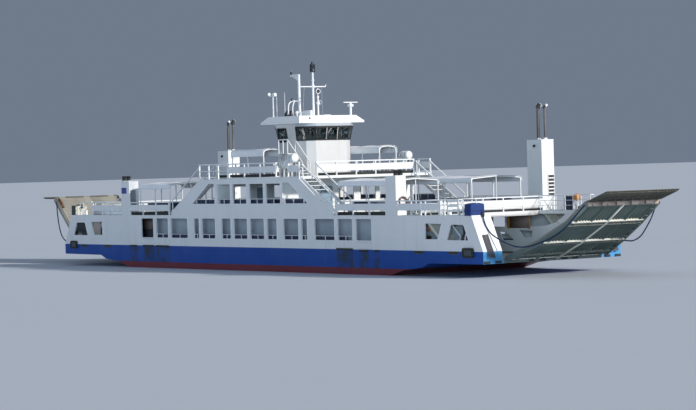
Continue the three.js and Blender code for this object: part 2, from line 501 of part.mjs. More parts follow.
// Ramps at the two ends: a kinked, tapering plate with ribs below, and a flap on hinges at its lip
const RAMPS = [
  { endName: "right", end: 1, tilt: 0, flapTilt: 0 },
  { endName: "left", end: -1, tilt: 4.9, flapTilt: -22.8 },
];
const rampLine = [[48, 20, 2152], [1254, 534, 1851], [2436, 1150, 1626], [3385, 1809, 1555]];
const FLAP_HINGE = { radius: 34, reach: 66, slope: 0.607, half: 150, places: [-1200, 0, 1200] };
for (const { endName, end, tilt, flapTilt } of RAMPS) {
  const hinge = [RAMP_HINGE.x, RAMP_HINGE.z];
  const turn = (tilt * Math.PI) / 180;
  const spot = (dx, dz) => [hinge[0] + dx * Math.cos(turn) - dz * Math.sin(turn),
    hinge[1] + dx * Math.sin(turn) + dz * Math.cos(turn)];
  const section = ([dx, dz, half], up, down, slope) => {
    const normal = [-Math.sin(slope), Math.cos(slope)];
    const high = spot(dx + normal[0] * up, dz + normal[1] * up);
    const low = spot(dx - normal[0] * down, dz - normal[1] * down);
    const ring = [[high[0], -half, high[1]], [high[0], half, high[1]], [low[0], half, low[1]],
      [low[0], -half, low[1]]];
    return ring.map(([x, y, z]) => [end * x, y, z]);
  };
  const slopes = [0.4, 0.445, 0.545, 0.607];
  let rings = rampLine.map((row, i) => section(row, 18, 18, slopes[i]));
  if (end < 0) rings = rings.map((ring) => ring.slice().reverse());
  const parts = [loft(rings)];
  for (const place of [0.35, 1, 2, 2.93]) {
    const i = Math.min(2, Math.floor(place));
    const share = place - i;
    const row = [0, 1, 2].map((k) => rampLine[i][k] * (1 - share) + rampLine[i + 1][k] * share);
    const slope = slopes[i] * (1 - share) + slopes[i + 1] * share;
    const top = spot(row[0], row[1]);
    const foot = spot(row[0] + Math.sin(slope) * 125, row[1] - Math.cos(slope) * 125);
    const half = row[2] - 12;
    const wide = 14;
    const along = [Math.cos(slope + turn) * wide, Math.sin(slope + turn) * wide];
    let ring = [[top[0] - along[0], top[1] - along[1]], [top[0] + along[0], top[1] + along[1]],
      [foot[0] + along[0], foot[1] + along[1]], [foot[0] - along[0], foot[1] - along[1]]];
    ring = ring.map(([x, z]) => [end * x, z]);
    parts.push(plate("XZ", ring, [], -half, half));
  }
  for (const lane of [-0.86, -0.45, 0, 0.45, 0.86]) {
    for (let i = 0; i < 3; i++) {
      const [a, b] = [rampLine[i], rampLine[i + 1]];
      const low = (row, slope) => {
        const p = spot(row[0] + Math.sin(slope) * 70, row[1] - Math.cos(slope) * 70);
        return [end * p[0], row[2] * lane, p[1]];
      };
      parts.push(bar(low(a, slopes[i]), low(b, slopes[i + 1]), 26, 112));
    }
  }
  const lug = (from, to, y0, y1, thick) => {
    const slope = Math.atan2(to[1] - from[1], to[0] - from[0]);
    const [nx, nz] = [-Math.sin(slope) * thick, Math.cos(slope) * thick];
    const outline = [[from[0] - nx, from[1] - nz], [to[0] - nx, to[1] - nz], [to[0] + nx, to[1] + nz],
      [from[0] + nx, from[1] + nz]];
    return plate("XZ", outline.map(([x, z]) => [end * x, z]), [], y0, y1);
  };
  for (const y of RAMP_HINGE.places) {
    const [y0, y1] = [y - RAMP_HINGE.rampHalf, y + RAMP_HINGE.rampHalf];
    parts.push(tube([end * hinge[0], y0, hinge[1]], [end * hinge[0], y1, hinge[1]], RAMP_HINGE.radius,
      RAMP_HINGE.radius, 10));
    parts.push(lug(hinge, spot(80, 33), y0 + 1, y1 - 1, 17));
  }
  const lip = spot(3385 + FLAP_HINGE.reach * Math.cos(FLAP_HINGE.slope),
    1809 + FLAP_HINGE.reach * Math.sin(FLAP_HINGE.slope));
  for (const y of FLAP_HINGE.places) {
    const [y0, y1] = [y - FLAP_HINGE.half, y + FLAP_HINGE.half];
    parts.push(tube([end * lip[0], y0, lip[1]], [end * lip[0], y1, lip[1]], FLAP_HINGE.radius,
      FLAP_HINGE.radius, 10));
    parts.push(lug(spot(3352, 1786), lip, y0 + 1, y1 - 1, 15));
  }
  addNode(`ramp_${endName}`, join(parts), 0x5d6a64);
  const flapTurn = turn + ((17.9 + flapTilt) * Math.PI) / 180;
  const flapParts = [];
  const reach = (d, h) => [lip[0] + d * Math.cos(flapTurn) - h * Math.sin(flapTurn),
    lip[1] + d * Math.sin(flapTurn) + h * Math.cos(flapTurn)];
  const flapOutline = [[42, -14], [42, 14], [960, 14], [1000, -6], [990, -14]].map(([d, h]) => reach(d, h))
    .map(([x, z]) => [end * x, z]);
  flapParts.push(plate("XZ", flapOutline, [], -1560, 1560));
  const edges = [-1560, ...FLAP_HINGE.places.flatMap((y) => [y - FLAP_HINGE.half, y + FLAP_HINGE.half]), 1560];
  for (let i = 0; i < edges.length; i += 2) {
    const [y0, y1] = [edges[i] + (i ? 0.3 : 0), edges[i + 1] - (i + 2 < edges.length ? 0.3 : 0)];
    flapParts.push(tube([end * lip[0], y0, lip[1]], [end * lip[0], y1, lip[1]], FLAP_HINGE.radius,
      FLAP_HINGE.radius, 10));
    flapParts.push(lug(lip, reach(60, 0), y0 + 1, y1 - 1, 13));
  }
  for (let i = 0; i < 8; i++) {
    const y = -1400 + i * 400;
    flapParts.push(bar([end * reach(60, -34)[0], y, reach(60, -34)[1]],
      [end * reach(940, -26)[0], y, reach(940, -26)[1]], 30, 60));
  }
  addNode(`flap_${endName}`, join(flapParts), 0x4c5a52);
}

// Boarding gates in the near side wall, swinging outwards
for (const [sideName, side] of Object.entries(SIDES)) {
  for (const [endName, end] of Object.entries(ENDS)) {
    if (side > 0) continue;
    const parts = [box(end * 6633, end * 7531, side * 2960, side * 2990, 888, 1117)];
    for (const [z0, z1] of [[900, 960], [1045, 1105]]) {
      parts.push(tube([end * GATE_PIN.x, side * GATE_PIN.y, z0], [end * GATE_PIN.x, side * GATE_PIN.y, z1],
        GATE_PIN.radius));
      parts.push(box(end * 7490, end * 7530, side * 2980, side * (GATE_PIN.y + 5), z0 + 2, z1 - 2));
      parts.push(box(end * 7490, end * GATE_PIN.x, side * (GATE_PIN.y - 4), side * (GATE_PIN.y + 5), z0 + 2,
        z1 - 2));
    }
    addNode(`gate_${sideName}_${endName}`, join(parts), 0xf2f4f5);
  }
}

// Steering thrusters below the hull and their propellers
for (const [endName, end] of Object.entries(ENDS)) {
  const x = end * 5200;
  addNode(`thruster_${endName}`, join([
    tube([x, 0, -906], [x, 0, -1010], 330, 330, 20),
    tube([x, 0, -900.3], [x, 0, -920], 150, 150, 16),
    loft([[[x - 60, -40, -1500], [x + 130, 0, -1500], [x - 60, 40, -1500], [x - 150, 0, -1500]],
      [[x - 90, -70, -1000], [x + 180, 0, -1000], [x - 90, 70, -1000], [x - 220, 0, -1000]]]),
    tube([x - 260, 0, -1420], [x + 230, 0, -1420], 70, 120, 16),
    tube([x + 200, 0, -1420], [x + 239.7, 0, -1420], 60, 60, 12),
  ]), 0x3a3f44);
  const blades = [tube([x + 240, 0, -1420], [x + 380, 0, -1420], 112, 60, 16)];
  for (let i = 0; i < 4; i++) {
    const blade = new THREE.BoxGeometry(26, 150, 330);
    blade.translate(0, 0, 230);
    blade.rotateZ(0.55);
    blade.rotateX((i * Math.PI) / 2);
    blade.translate(x + 300, 0, -1420);
    blades.push(solid(blade));
  }
  addNode(`propeller_${endName}`, join(blades), 0xb58a3c);
}

export default group;
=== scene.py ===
"""Double-ended passenger and car ferry, half size: its looks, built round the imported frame.

Metres throughout. +X points to the end whose ramp is lower, -Y to the side with the short exhaust towers,
and z = 0 is the waterline.
"""
import math

import bpy
import numpy as np
from mathutils import Matrix, Vector


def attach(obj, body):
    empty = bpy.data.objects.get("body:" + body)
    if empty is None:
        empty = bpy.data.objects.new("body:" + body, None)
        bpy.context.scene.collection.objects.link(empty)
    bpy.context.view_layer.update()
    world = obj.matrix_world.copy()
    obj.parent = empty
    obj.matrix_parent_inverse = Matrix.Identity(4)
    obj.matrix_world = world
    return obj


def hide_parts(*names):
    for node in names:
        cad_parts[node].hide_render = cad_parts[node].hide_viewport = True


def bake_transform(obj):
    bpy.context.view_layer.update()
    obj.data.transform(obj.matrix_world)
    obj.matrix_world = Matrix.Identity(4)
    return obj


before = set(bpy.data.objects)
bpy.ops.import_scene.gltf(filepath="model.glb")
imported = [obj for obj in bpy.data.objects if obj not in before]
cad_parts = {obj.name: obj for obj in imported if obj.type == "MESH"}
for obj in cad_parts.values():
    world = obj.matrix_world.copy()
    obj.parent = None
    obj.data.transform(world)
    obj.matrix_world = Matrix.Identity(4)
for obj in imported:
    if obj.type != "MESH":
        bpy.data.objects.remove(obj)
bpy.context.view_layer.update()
scene = bpy.context.scene
scene.view_settings.view_transform = "Standard"

# Camera
# The photograph's own view, solved from paired points of the ship: a long lens a little above the passenger
# deck, looking along the near side from ahead of the lower ramp, and turned a little as the photograph is.
VIEW = {"place": (76.070, -54.224, 3.881), "yaw": 53.7521, "down": 0.9729, "roll": -1.58906}
LENS = {"focal": 128.92, "sensor": 36.0}
yaw, down, roll = (math.radians(VIEW[key]) for key in ("yaw", "down", "roll"))
ahead = Vector((-math.sin(yaw) * math.cos(down), math.cos(yaw) * math.cos(down), -math.sin(down)))
level = Vector((math.cos(yaw), math.sin(yaw), 0))
above = level.cross(ahead)
right = level * math.cos(roll) + above * math.sin(roll)
upward = above * math.cos(roll) - level * math.sin(roll)
camera = bpy.data.objects.new("camera", bpy.data.cameras.new("camera"))
camera.data.lens, camera.data.sensor_width = LENS["focal"], LENS["sensor"]
camera.data.clip_end = 2000
camera.matrix_world = Matrix((
    (right.x, upward.x, -ahead.x, VIEW["place"][0]),
    (right.y, upward.y, -ahead.y, VIEW["place"][1]),
    (right.z, upward.z, -ahead.z, VIEW["place"][2]),
    (0, 0, 0, 1),
))
scene.collection.objects.link(camera)
scene.camera = camera


# Ramp ropes
# Four slack blue ropes of laid fibre, one from each hoist on the casing tops down and up again to the outer
# corner of its ramp. Each is one hanging length made fast at both ends.
ALONG, ACROSS, UP = (1, 0, 0), (0, 1, 0), (0, 0, 1)
SIDES = (("near", -1), ("far", 1))
ENDS = (("left", -1), ("right", 1))


def xyz(x, y, z):
    """Points (x, y, z), where one number stands for the same value at every point."""
    return np.stack(np.broadcast_arrays(x, y, z), -1)


def unit(vectors):
    return vectors / np.maximum(np.linalg.norm(vectors, axis=-1, keepdims=True), 1e-12)


def carried(paths, profile, across=None, closed=False, widths=None):
    """Profile (u, v) carried along paths: corner = point + u * miter * side + v * lift, where side is square
    to the path and to the fixed direction across, and lift is square to both. One mesh for all paths."""
    paths = np.asarray(paths, float)
    paths = paths.reshape((-1,) + paths.shape[-2:])
    steps = unit(np.roll(paths, -1, 1) - paths)
    ahead_of, behind = steps.copy(), np.roll(steps, 1, 1)
    if not closed:
        ahead_of[:, -1], behind[:, 0] = behind[:, -1], ahead_of[:, 0]
    tangent = unit(ahead_of + behind)
    if across is None:
        upright = np.abs(tangent[:, :1, 2:]) > 0.9
        across = np.where(upright, ALONG, UP)
    side = unit(np.cross(np.broadcast_to(np.asarray(across, float), tangent.shape), tangent))
    lift = np.cross(tangent, side)
    miter = 1 / np.maximum(np.sum(tangent * ahead_of, -1), 0.5)[..., None, None]
    grow = 1.0 if widths is None else np.asarray(widths, float)[..., :, None, None]
    points = (paths[:, :, None] + profile[:, 0, None] * grow * side[:, :, None] * miter
              + profile[:, 1, None] * grow * lift[:, :, None])
    many, rings, count = points.shape[:3]
    number = np.arange(many * rings * count).reshape(many, rings, count)
    first, second = (number, np.roll(number, -1, 1)) if closed else (number[:, :-1], number[:, 1:])
    quads = np.stack([first, np.roll(first, -1, 2), np.roll(second, -1, 2), second], -1).reshape(-1, 4)
    caps = [] if closed else [number[:, 0, ::-1], number[:, -1]]
    return points.reshape(-1, 3), [quads] + caps


def tubes(paths, radius, sides=8, across=None, closed=False):
    """Round bars along paths: profile (radius cos a, radius sin a), a in equal steps once round."""
    a = np.arange(sides) * 2 * np.pi / sides
    return carried(paths, np.stack([radius * np.cos(a), radius * np.sin(a)], -1), across, closed)


def smooth_route(points, steps):
    """Curve through the points: 0.5 (2 b + (c - a) t + (2 a - 5 b + 4 c - d) t^2 + (3 b - a - 3 c + d) t^3)
    between the neighbours b and c, with a and d the next ones out."""
    p = np.asarray(points, float)
    p = np.vstack([2 * p[0] - p[1], p, 2 * p[-1] - p[-2]])
    t = (np.arange(steps) / steps)[None, :, None]
    a, b, c, d = (p[k:len(p) - 3 + k, None] for k in range(4))
    curve = 0.5 * (2 * b + (c - a) * t + (2 * a - 5 * b + 4 * c - d) * t ** 2
                   + (3 * b - a - 3 * c + d) * t ** 3)
    return np.vstack([curve.reshape(-1, 3), p[-2:-1]])


def piece(name, body, finishes, surfaces, smooth=None):
    """One object from several surfaces. Each is (corners N x 3, list of face arrays, finish number)."""
    surfaces = [entry if len(entry) == 3 else (*entry, 0) for entry in surfaces]
    corners = np.concatenate([points for points, _, _ in surfaces])
    loops, totals, finish_numbers, base = [], [], [], 0
    for points, faces, number in surfaces:
        for block in faces:
            loops.append((block + base).ravel())
            totals.append(np.full(len(block), block.shape[1]))
            finish_numbers.append(np.full(len(block), number))
        base += len(points)
    loops, totals = np.concatenate(loops), np.concatenate(totals)
    mesh = bpy.data.meshes.new(name)
    mesh.vertices.add(len(corners))
    mesh.vertices.foreach_set("co", corners.astype(np.float32).ravel())
    mesh.loops.add(len(loops))
    mesh.loops.foreach_set("vertex_index", loops.astype(np.int32))
    mesh.polygons.add(len(totals))
    mesh.polygons.foreach_set("loop_start", (np.cumsum(totals) - totals).astype(np.int32))
    mesh.polygons.foreach_set("material_index", np.concatenate(finish_numbers).astype(np.int32))
    mesh.update(calc_edges=True)
    if smooth is not None:
        mesh.polygons.foreach_set("use_smooth", np.ones(len(totals), bool))
        mesh.set_sharp_from_angle(angle=math.radians(smooth))
    for finish in finishes:
        mesh.materials.append(finish)
    made = bpy.data.objects.new(name, mesh)
    scene.collection.objects.link(made)
    if body:
        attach(made, body)
    return made


def adder(tree):
    """add(kind, {input: value or socket}, setting=value) puts one shader node of that kind into the tree."""
    def add(kind, inputs=None, **settings):
        node = tree.nodes.new(f"ShaderNode{kind}")
        for key, value in settings.items():
            setattr(node, key, value)
        for key, value in (inputs or {}).items():
            if isinstance(value, bpy.types.NodeSocket):
                tree.links.new(value, node.inputs[key])
            else:
                node.inputs[key].default_value = value
        return node
    return add


def new_finish(name):
    """An empty node material: its adder and its shader, already joined to the output."""
    material = bpy.data.materials.new(name)
    material.use_nodes = True
    shader = material.node_tree.nodes["Principled BSDF"]
    return material, adder(material.node_tree), shader


def joins(source, target):
    source.id_data.links.new(source, target)


def textured(name, texture, tones, bump, roughness, kind="TexNoise", relief=None, **settings):
    """A finish from one texture: its value runs through two tones, each a position and a colour, and gives
    the relief too, unless relief is a function that builds the height. bump is the relief's strength and
    depth."""
    material, add, shader = new_finish(name)
    place = add("TexCoord").outputs["Object"]
    grain = add(kind, {"Vector": place, **texture}, **settings).outputs["Fac"]
    tone = add("ValToRGB", {"Fac": grain})
    for stop, (position, colour) in zip(tone.color_ramp.elements, tones):
        stop.position, stop.color = position, (*colour, 1)
    height = relief(add, place, grain) if relief else grain
    normal = add("Bump", {"Height": height, "Strength": bump[0], "Distance": bump[1]})
    joins(tone.outputs["Color"], shader.inputs["Base Color"])
    joins(normal.outputs["Normal"], shader.inputs["Normal"])
    shader.inputs["Roughness"].default_value = roughness
    return material


ROPE = {"diameter": 0.045, "sides": 10}
rope_blue = textured("rope_blue", {"Scale": 9.0, "Distortion": 1.5, "Detail": 2.0},
                     [(0, (0.004, 0.014, 0.050)), (1, (0.008, 0.036, 0.125))], (0.6, 0.006), 0.8,
                     kind="TexWave", bands_direction="DIAGONAL")

# the hanging line of each rope: x, distance from the centreline, z
ROPE_HEAD = [(12.968, 2.560, 2.215), (13.135, 2.575, 1.800), (13.215, 2.540, 1.620), (13.340, 2.485, 1.440)]
ROPE_LINES = {"near_right": ROPE_HEAD + [(13.633, 2.380, 1.244), (13.971, 2.250, 1.082),
                                         (14.270, 2.170, 1.007), (14.662, 2.050, 1.016),
                                         (15.043, 1.950, 1.113), (15.461, 1.840, 1.257),
                                         (15.842, 1.750, 1.448), (16.216, 1.680, 1.702),
                                         (16.617, 1.620, 2.067), (16.930, 1.575, 2.345)],
              "far_right": ROPE_HEAD + [(13.633, 2.380, 1.244), (14.000, 2.260, 1.125),
                                        (14.400, 2.150, 1.065), (14.865, 2.050, 1.044),
                                        (15.260, 1.970, 1.046), (15.642, 1.880, 1.147),
                                        (15.949, 1.800, 1.310), (16.445, 1.680, 1.748),
                                        (16.760, 1.610, 2.150), (16.930, 1.575, 2.345)],
              "left": [(-12.968, 2.560, 2.215), (-13.135, 2.530, 1.800), (-13.370, 2.470, 1.400),
                       (-13.900, 2.330, 1.080), (-14.650, 2.140, 0.900), (-15.400, 1.950, 0.960),
                       (-15.950, 1.800, 1.190), (-16.330, 1.690, 1.620), (-16.560, 1.620, 2.150),
                       (-16.640, 1.590, 2.560)]}
for end_name in ("right", "left"):
    for side_name, side in SIDES:
        line = ROPE_LINES.get(f"{side_name}_{end_name}", ROPE_LINES["left"])
        route = smooth_route(np.array(line) * (1, side, 1), 4)
        chord = route[-1] - route[0]
        flat_across = np.cross(unit(chord * (1, 1, 0)), UP)
        tube = tubes(route, ROPE["diameter"] / 2, ROPE["sides"], flat_across)
        rope = piece(f"rope_{side_name}_{end_name}", None, [rope_blue], [tube], smooth=60)
        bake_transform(rope)

# Floor and light
# A plain pale floor at the waterline, a soft sun from ahead of the lower ramp, a weak broad light from the
# camera's side for the glare off the water, and a pale blue studio sky.
FLOOR = {"half": 700.0, "tones": ((0.50, 0.55, 0.62, 1), (0.53, 0.58, 0.65, 1)), "grain": 0.08,
         "roughness": 0.75}
LIGHTS = {
    "sun": {"azimuth": 20.0, "height": 24.0, "strength": 3.5, "spread": 4.0, "colour": (1.0, 0.955, 0.89)},
    "water_glare": {"azimuth": -41.0, "height": 4.0, "strength": 1.0, "spread": 14.0,
                    "colour": (0.62, 0.83, 1.0)},
}
# colours at the horizon and overhead, and between which heights of the view one goes over into the other
SKY = {"horizon": (0.62, 0.76, 1.00, 1), "zenith": (1.10, 1.25, 1.55, 1), "rise": (0.12, 0.85),
       "strength": 0.26}


def mixed(add, share, low, high, **settings):
    """Colour low + share (high - low), or what the node's other settings make of the two."""
    return add("Mix", {"Factor": share, "A": low, "B": high}, data_type="RGBA", **settings).outputs["Result"]


floor_finish, add, shader = new_finish("floor_pale")
grain = add("TexNoise", {"Vector": add("TexCoord").outputs["Object"], "Scale": FLOOR["grain"]})
joins(mixed(add, grain.outputs["Fac"], *FLOOR["tones"]), shader.inputs["Base Color"])
shader.inputs["Roughness"].default_value = FLOOR["roughness"]
corners = np.array([(-1, -1, 0), (1, -1, 0), (1, 1, 0), (-1, 1, 0)]) * FLOOR["half"]
floor = piece("floor", None, [floor_finish], [(corners, [np.arange(4)[None]])])
for light_name, light in LIGHTS.items():
    lamp = bpy.data.objects.new(light_name, bpy.data.lights.new(light_name, "SUN"))
    lamp.data.energy, lamp.data.angle = light["strength"], math.radians(light["spread"])
    lamp.data.color = light["colour"]
    azimuth, rising = math.radians(light["azimuth"]), math.radians(light["height"])
    toward = Vector((math.cos(rising) * math.cos(azimuth), math.cos(rising) * math.sin(azimuth),
                     math.sin(rising)))
    lamp.rotation_euler = toward.to_track_quat("Z", "Y").to_euler()
    scene.collection.objects.link(lamp)
world = bpy.data.worlds.new("studio")
world.use_nodes = True
add = adder(world.node_tree)
view = add("SeparateXYZ", {"Vector": add("TexCoord").outputs["Generated"]})
rise = add("MapRange", {"Value": view.outputs["Z"], "From Min": SKY["rise"][0], "From Max": SKY["rise"][1]})
backdrop = world.node_tree.nodes["Background"]
joins(mixed(add, rise.outputs["Result"], SKY["horizon"], SKY["zenith"]), backdrop.inputs["Color"])
backdrop.inputs["Strength"].default_value = SKY["strength"]
scene.world = world


# Hull and side casings
# Welded steel plate, painted white above, blue below the knuckle line and dark red at the waterline. The
# paint is brushed and rolled over butted plates, and runs and scuffs show below the rubbing pads.
def group_of(name, inputs, outputs):
    """A shader node group with named sockets: its tree, its adder, its input node and its output node."""
    tree = bpy.data.node_groups.new(name, "ShaderNodeTree")
    kinds = {"c": "NodeSocketColor", "f": "NodeSocketFloat", "v": "NodeSocketVector"}
    for label, kind, default in inputs:
        socket = tree.interface.new_socket(label, in_out="INPUT", socket_type=kinds[kind])
        if default is not None:
            socket.default_value = default
    for label, kind in outputs:
        tree.interface.new_socket(label, in_out="OUTPUT", socket_type=kinds[kind])
    return tree, adder(tree), tree.nodes.new("NodeGroupInput"), tree.nodes.new("NodeGroupOutput")


def reckoned(add, operation, first, second, clamp=False):
    """One sum on two values, such as ADD or MULTIPLY, kept from 0 to 1 where clamp is set."""
    return add("Math", {0: first, 1: second}, operation=operation, use_clamp=clamp).outputs["Value"]


RUST = (0.30, 0.19, 0.10, 1)
# noise of the runs and patches, and the values between which each begins and is full; size of a plate,
# width of its seam; how dark a seam is and how much gloss a patch loses
RUNS = {"stretch": (5.5, 5.5, 0.38), "noise": {"Scale": 1.6, "Detail": 5.0, "Roughness": 0.62},
        "from": (0.56, 0.80)}
PATCHES = {"noise": {"Scale": 0.9, "Detail": 6.0, "Roughness": 0.6}, "from": (0.35, 0.75),
           "colour": (0.42, 0.42, 0.40, 1), "gloss": 0.18}
PLATE = {"Brick Width": 1.85, "Row Height": 0.62, "Mortar Size": 0.006, "Mortar Smooth": 1.0, "Scale": 1.0}
SEAM = {"depth": -0.6, "share": 0.16, "colour": (0.20, 0.20, 0.21, 1)}
weather, add, given, result = group_of(
    "sea_weather",
    [("Place", "v", None), ("Paint", "c", (0.8, 0.8, 0.8, 1)), ("Stain", "c", RUST),
     ("Runs", "f", 0.25), ("Patches", "f", 0.15), ("Roughness", "f", 0.42), ("Plate", "f", 1.0)],
    [("Color", "c"), ("Roughness", "f"), ("Height", "f")])
place, plate = given.outputs["Place"], given.outputs["Plate"]
stretched = add("Mapping", {"Vector": place, "Scale": RUNS["stretch"]}).outputs["Vector"]
run_mask, patch_mask = (
    add("MapRange", {"Value": add("TexNoise", {"Vector": over, **table["noise"]}).outputs["Fac"],
                     "From Min": table["from"][0], "From Max": table["from"][1]}).outputs["Result"]
    for over, table in ((stretched, RUNS), (place, PATCHES)))
dulled = mixed(add, reckoned(add, "MULTIPLY", patch_mask, given.outputs["Patches"], True),
               given.outputs["Paint"], PATCHES["colour"], blend_type="MULTIPLY")
stained = mixed(add, reckoned(add, "MULTIPLY", run_mask, given.outputs["Runs"], True), dulled,
                given.outputs["Stain"])
split = add("SeparateXYZ", {"Vector": place})
along = reckoned(add, "ADD", split.outputs["X"], split.outputs["Y"])
flat = add("CombineXYZ", {"X": along, "Y": split.outputs["Z"]})
seams = add("TexBrick", {"Vector": flat.outputs["Vector"], **PLATE}).outputs["Fac"]
dents = add("TexNoise", {"Vector": place, "Scale": 2.4, "Detail": 1.0}).outputs["Fac"]
relief = reckoned(add, "ADD", reckoned(add, "MULTIPLY", seams, SEAM["depth"]), dents)
seam_share = reckoned(add, "MULTIPLY", reckoned(add, "MULTIPLY", seams, plate, True), SEAM["share"])
lost_gloss = reckoned(add, "MULTIPLY", patch_mask, PATCHES["gloss"])
for label, source in (("Color", mixed(add, seam_share, stained, SEAM["colour"])),
                      ("Roughness", reckoned(add, "ADD", given.outputs["Roughness"], lost_gloss, True)),
                      ("Height", reckoned(add, "MULTIPLY", relief, plate))):
    joins(source, result.inputs[label])


def weathered(name, paint, stain=RUST, runs=0.25, patches=0.15, roughness=0.42, plate=0.0, metallic=0.0):
    """Painted steel: a paint colour or a function that builds one, with the sea_weather group over it."""
    material, add, shader = new_finish(name)
    place = add("TexCoord").outputs["Object"]
    group = add("Group", node_tree=weather)
    joins(place, group.inputs["Place"])
    if callable(paint):
        joins(paint(add), group.inputs["Paint"])
    else:
        group.inputs["Paint"].default_value = (*paint, 1)
    for label, value in (("Stain", stain), ("Runs", runs), ("Patches", patches), ("Roughness", roughness),
                         ("Plate", plate)):
        group.inputs[label].default_value = value
    bump = add("Bump", {"Height": group.outputs["Height"], "Strength": 0.5, "Distance": 0.004})
    joins(group.outputs["Color"], shader.inputs["Base Color"])
    joins(group.outputs["Roughness"], shader.inputs["Roughness"])
    joins(bump.outputs["Normal"], shader.inputs["Normal"])
    shader.inputs["Metallic"].default_value = metallic
    return material


WHITE = (0.83, 0.84, 0.85)
BAND = {"boot_top": 0.235, "knuckle": 0.867, "platform": 2.15, "soft": 0.006}
# the paler blue of the faces toward the ends is partly a paler paint and partly painted sunlight
COLOURS = {"blue": (0.0, 0.064, 0.34, 1), "red": (0.17, 0.022, 0.035, 1), "end_blue_and_sunlight": (0.070, 0.30, 0.60, 1),
           "platform": (0.115, 0.150, 0.150, 1), "deck": (0.27, 0.32, 0.31, 1),
           "smear": (0.02, 0.035, 0.035, 1)}
# where the rubbing pads have smeared the blue paint below them, as pairs along x, between x -reach and reach
SMEARS = [(-8.42, -7.86), (-7.40, -6.62), (-6.46, -5.52), (5.46, 6.44), (6.80, 7.32), (7.66, 7.95)]
SMEAR = {"reach": 9.0, "soft": 0.06,
         "torn": {"From Min": 0.38, "From Max": 0.60, "To Min": 0.15, "To Max": 0.9}}


def ship_side_paint(add):
    """White, blue and red by height; the deck colour where the plate faces up, pale blue where it faces
    the ends, which is partly a paler paint and partly painted sunlight, and dark smears below the
    rubbing pads."""
    coordinates = add("TexCoord")
    at = add("SeparateXYZ", {"Vector": coordinates.outputs["Object"]})
    faces = add("SeparateXYZ", {"Vector": coordinates.outputs["Normal"]})

    def past(value, level, soft):
        return add("MapRange", {"Value": value, "From Min": level - soft,
                                "From Max": level + soft}).outputs["Result"]

    def size_of(value):
        return add("Math", {0: value}, operation="ABSOLUTE").outputs["Value"]

    end_face = mixed(add, past(size_of(at.outputs["Y"]), BAND["platform"], 0.01), COLOURS["platform"],
                     COLOURS["end_blue_and_sunlight"])
    # pale blue where the plate faces the ends: partly painted sunlight
    blue = mixed(add, past(size_of(faces.outputs["X"]), 0.6, 0.1), COLOURS["blue"], end_face)
    reach, soft = SMEAR["reach"], SMEAR["soft"]
    where = add("MapRange", {"Value": at.outputs["X"], "From Min": -reach, "From Max": reach})
    strips = add("ValToRGB", {"Fac": where.outputs["Result"]})
    stops = strips.color_ramp.elements
    stops.remove(stops[1])
    stops[0].position, stops[0].color = 0.0, (0, 0, 0, 1)
    for low, high in SMEARS:
        for x, shade in ((low - soft, 0.0), (low + soft, 1.0), (high - soft, 1.0), (high + soft, 0.0)):
            stops.new((x + reach) / (2 * reach)).color = (shade, shade, shade, 1)
    ragged = add("TexNoise", {"Vector": coordinates.outputs["Object"], "Scale": 3.5, "Detail": 6.0})
    torn = add("MapRange", {"Value": ragged.outputs["Fac"], **SMEAR["torn"]})
    smear = reckoned(add, "MULTIPLY", strips.outputs["Color"], torn.outputs["Result"])
    blue = mixed(add, smear, blue, COLOURS["smear"])
    low = mixed(add, past(at.outputs["Z"], BAND["boot_top"], BAND["soft"]), COLOURS["red"], blue)
    side = mixed(add, past(at.outputs["Z"], BAND["knuckle"], BAND["soft"]), low, (*WHITE, 1))
    return mixed(add, past(faces.outputs["Z"], 0.9, 0.05), side, COLOURS["deck"])


def deck_topped_paint(add):
    """White on the sides and below, the deck colour where the plate faces up."""
    faces = add("SeparateXYZ", {"Vector": add("TexCoord").outputs["Normal"]})
    up = add("MapRange", {"Value": faces.outputs["Z"], "From Min": 0.85, "From Max": 0.95})
    return mixed(add, up.outputs["Result"], (*WHITE, 1), COLOURS["deck"])


ship_side = weathered("ship_side_paint", ship_side_paint, stain=(0.14, 0.13, 0.12, 1), runs=0.20,
                      patches=0.08, plate=1.0)
white_paint = weathered("white_paint", WHITE, runs=0.16, patches=0.10)
deck_topped = weathered("deck_topped_paint", deck_topped_paint, runs=0.15, patches=0.16)


def dress(finish, *node_names):
    """Gives CAD nodes their finish."""
    for node_name in node_names:
        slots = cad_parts[node_name].data.materials
        slots.clear()
        slots.append(finish)


SIDE_NAMES, END_NAMES = ("near", "far"), ("left", "right")
dress(ship_side, "hull", *(f"side_wall_{side}" for side in SIDE_NAMES),
      *(f"casing_end_{side}_{end}" for side in SIDE_NAMES for end in END_NAMES))
dress(white_paint, "gallery_wall_far")
# the near gallery wall in blue-grey: painted shade on a white wall whose inner face the sun would light
dress(weathered("gallery_painted_shade", (0.57, 0.64, 0.72), runs=0.16, patches=0.10), "gallery_wall_near")
dress(deck_topped, "passenger_deck", "top_deck")


# Fenders and rubbing pads
# Black rubber, moulded in blocks and strips: a framed fender near each end of both sides, rubbing strips at
# the knuckle line where the ferry lies against a quay, and blocks along the platform ends. Bolted to the
# plate.
rubber = textured("fender_rubber", {"Scale": 14.0, "Detail": 7.0, "Roughness": 0.7},
                  [(0.35, (0.012, 0.014, 0.016)), (0.75, (0.06, 0.065, 0.06))], (0.5, 0.008), 0.78)
worn_steel = weathered("worn_fender_plate", (0.095, 0.105, 0.105), runs=0.5, patches=0.6, roughness=0.6)


def flats(paths, width, height, across=None, closed=False, widths=None):
    """Flat bars along paths: a rectangle centred on the path, width across it and height along across."""
    return carried(paths, np.array([(-1, -1), (1, -1), (1, 1), (-1, 1)]) * (width / 2, height / 2), across,
                   closed, widths)


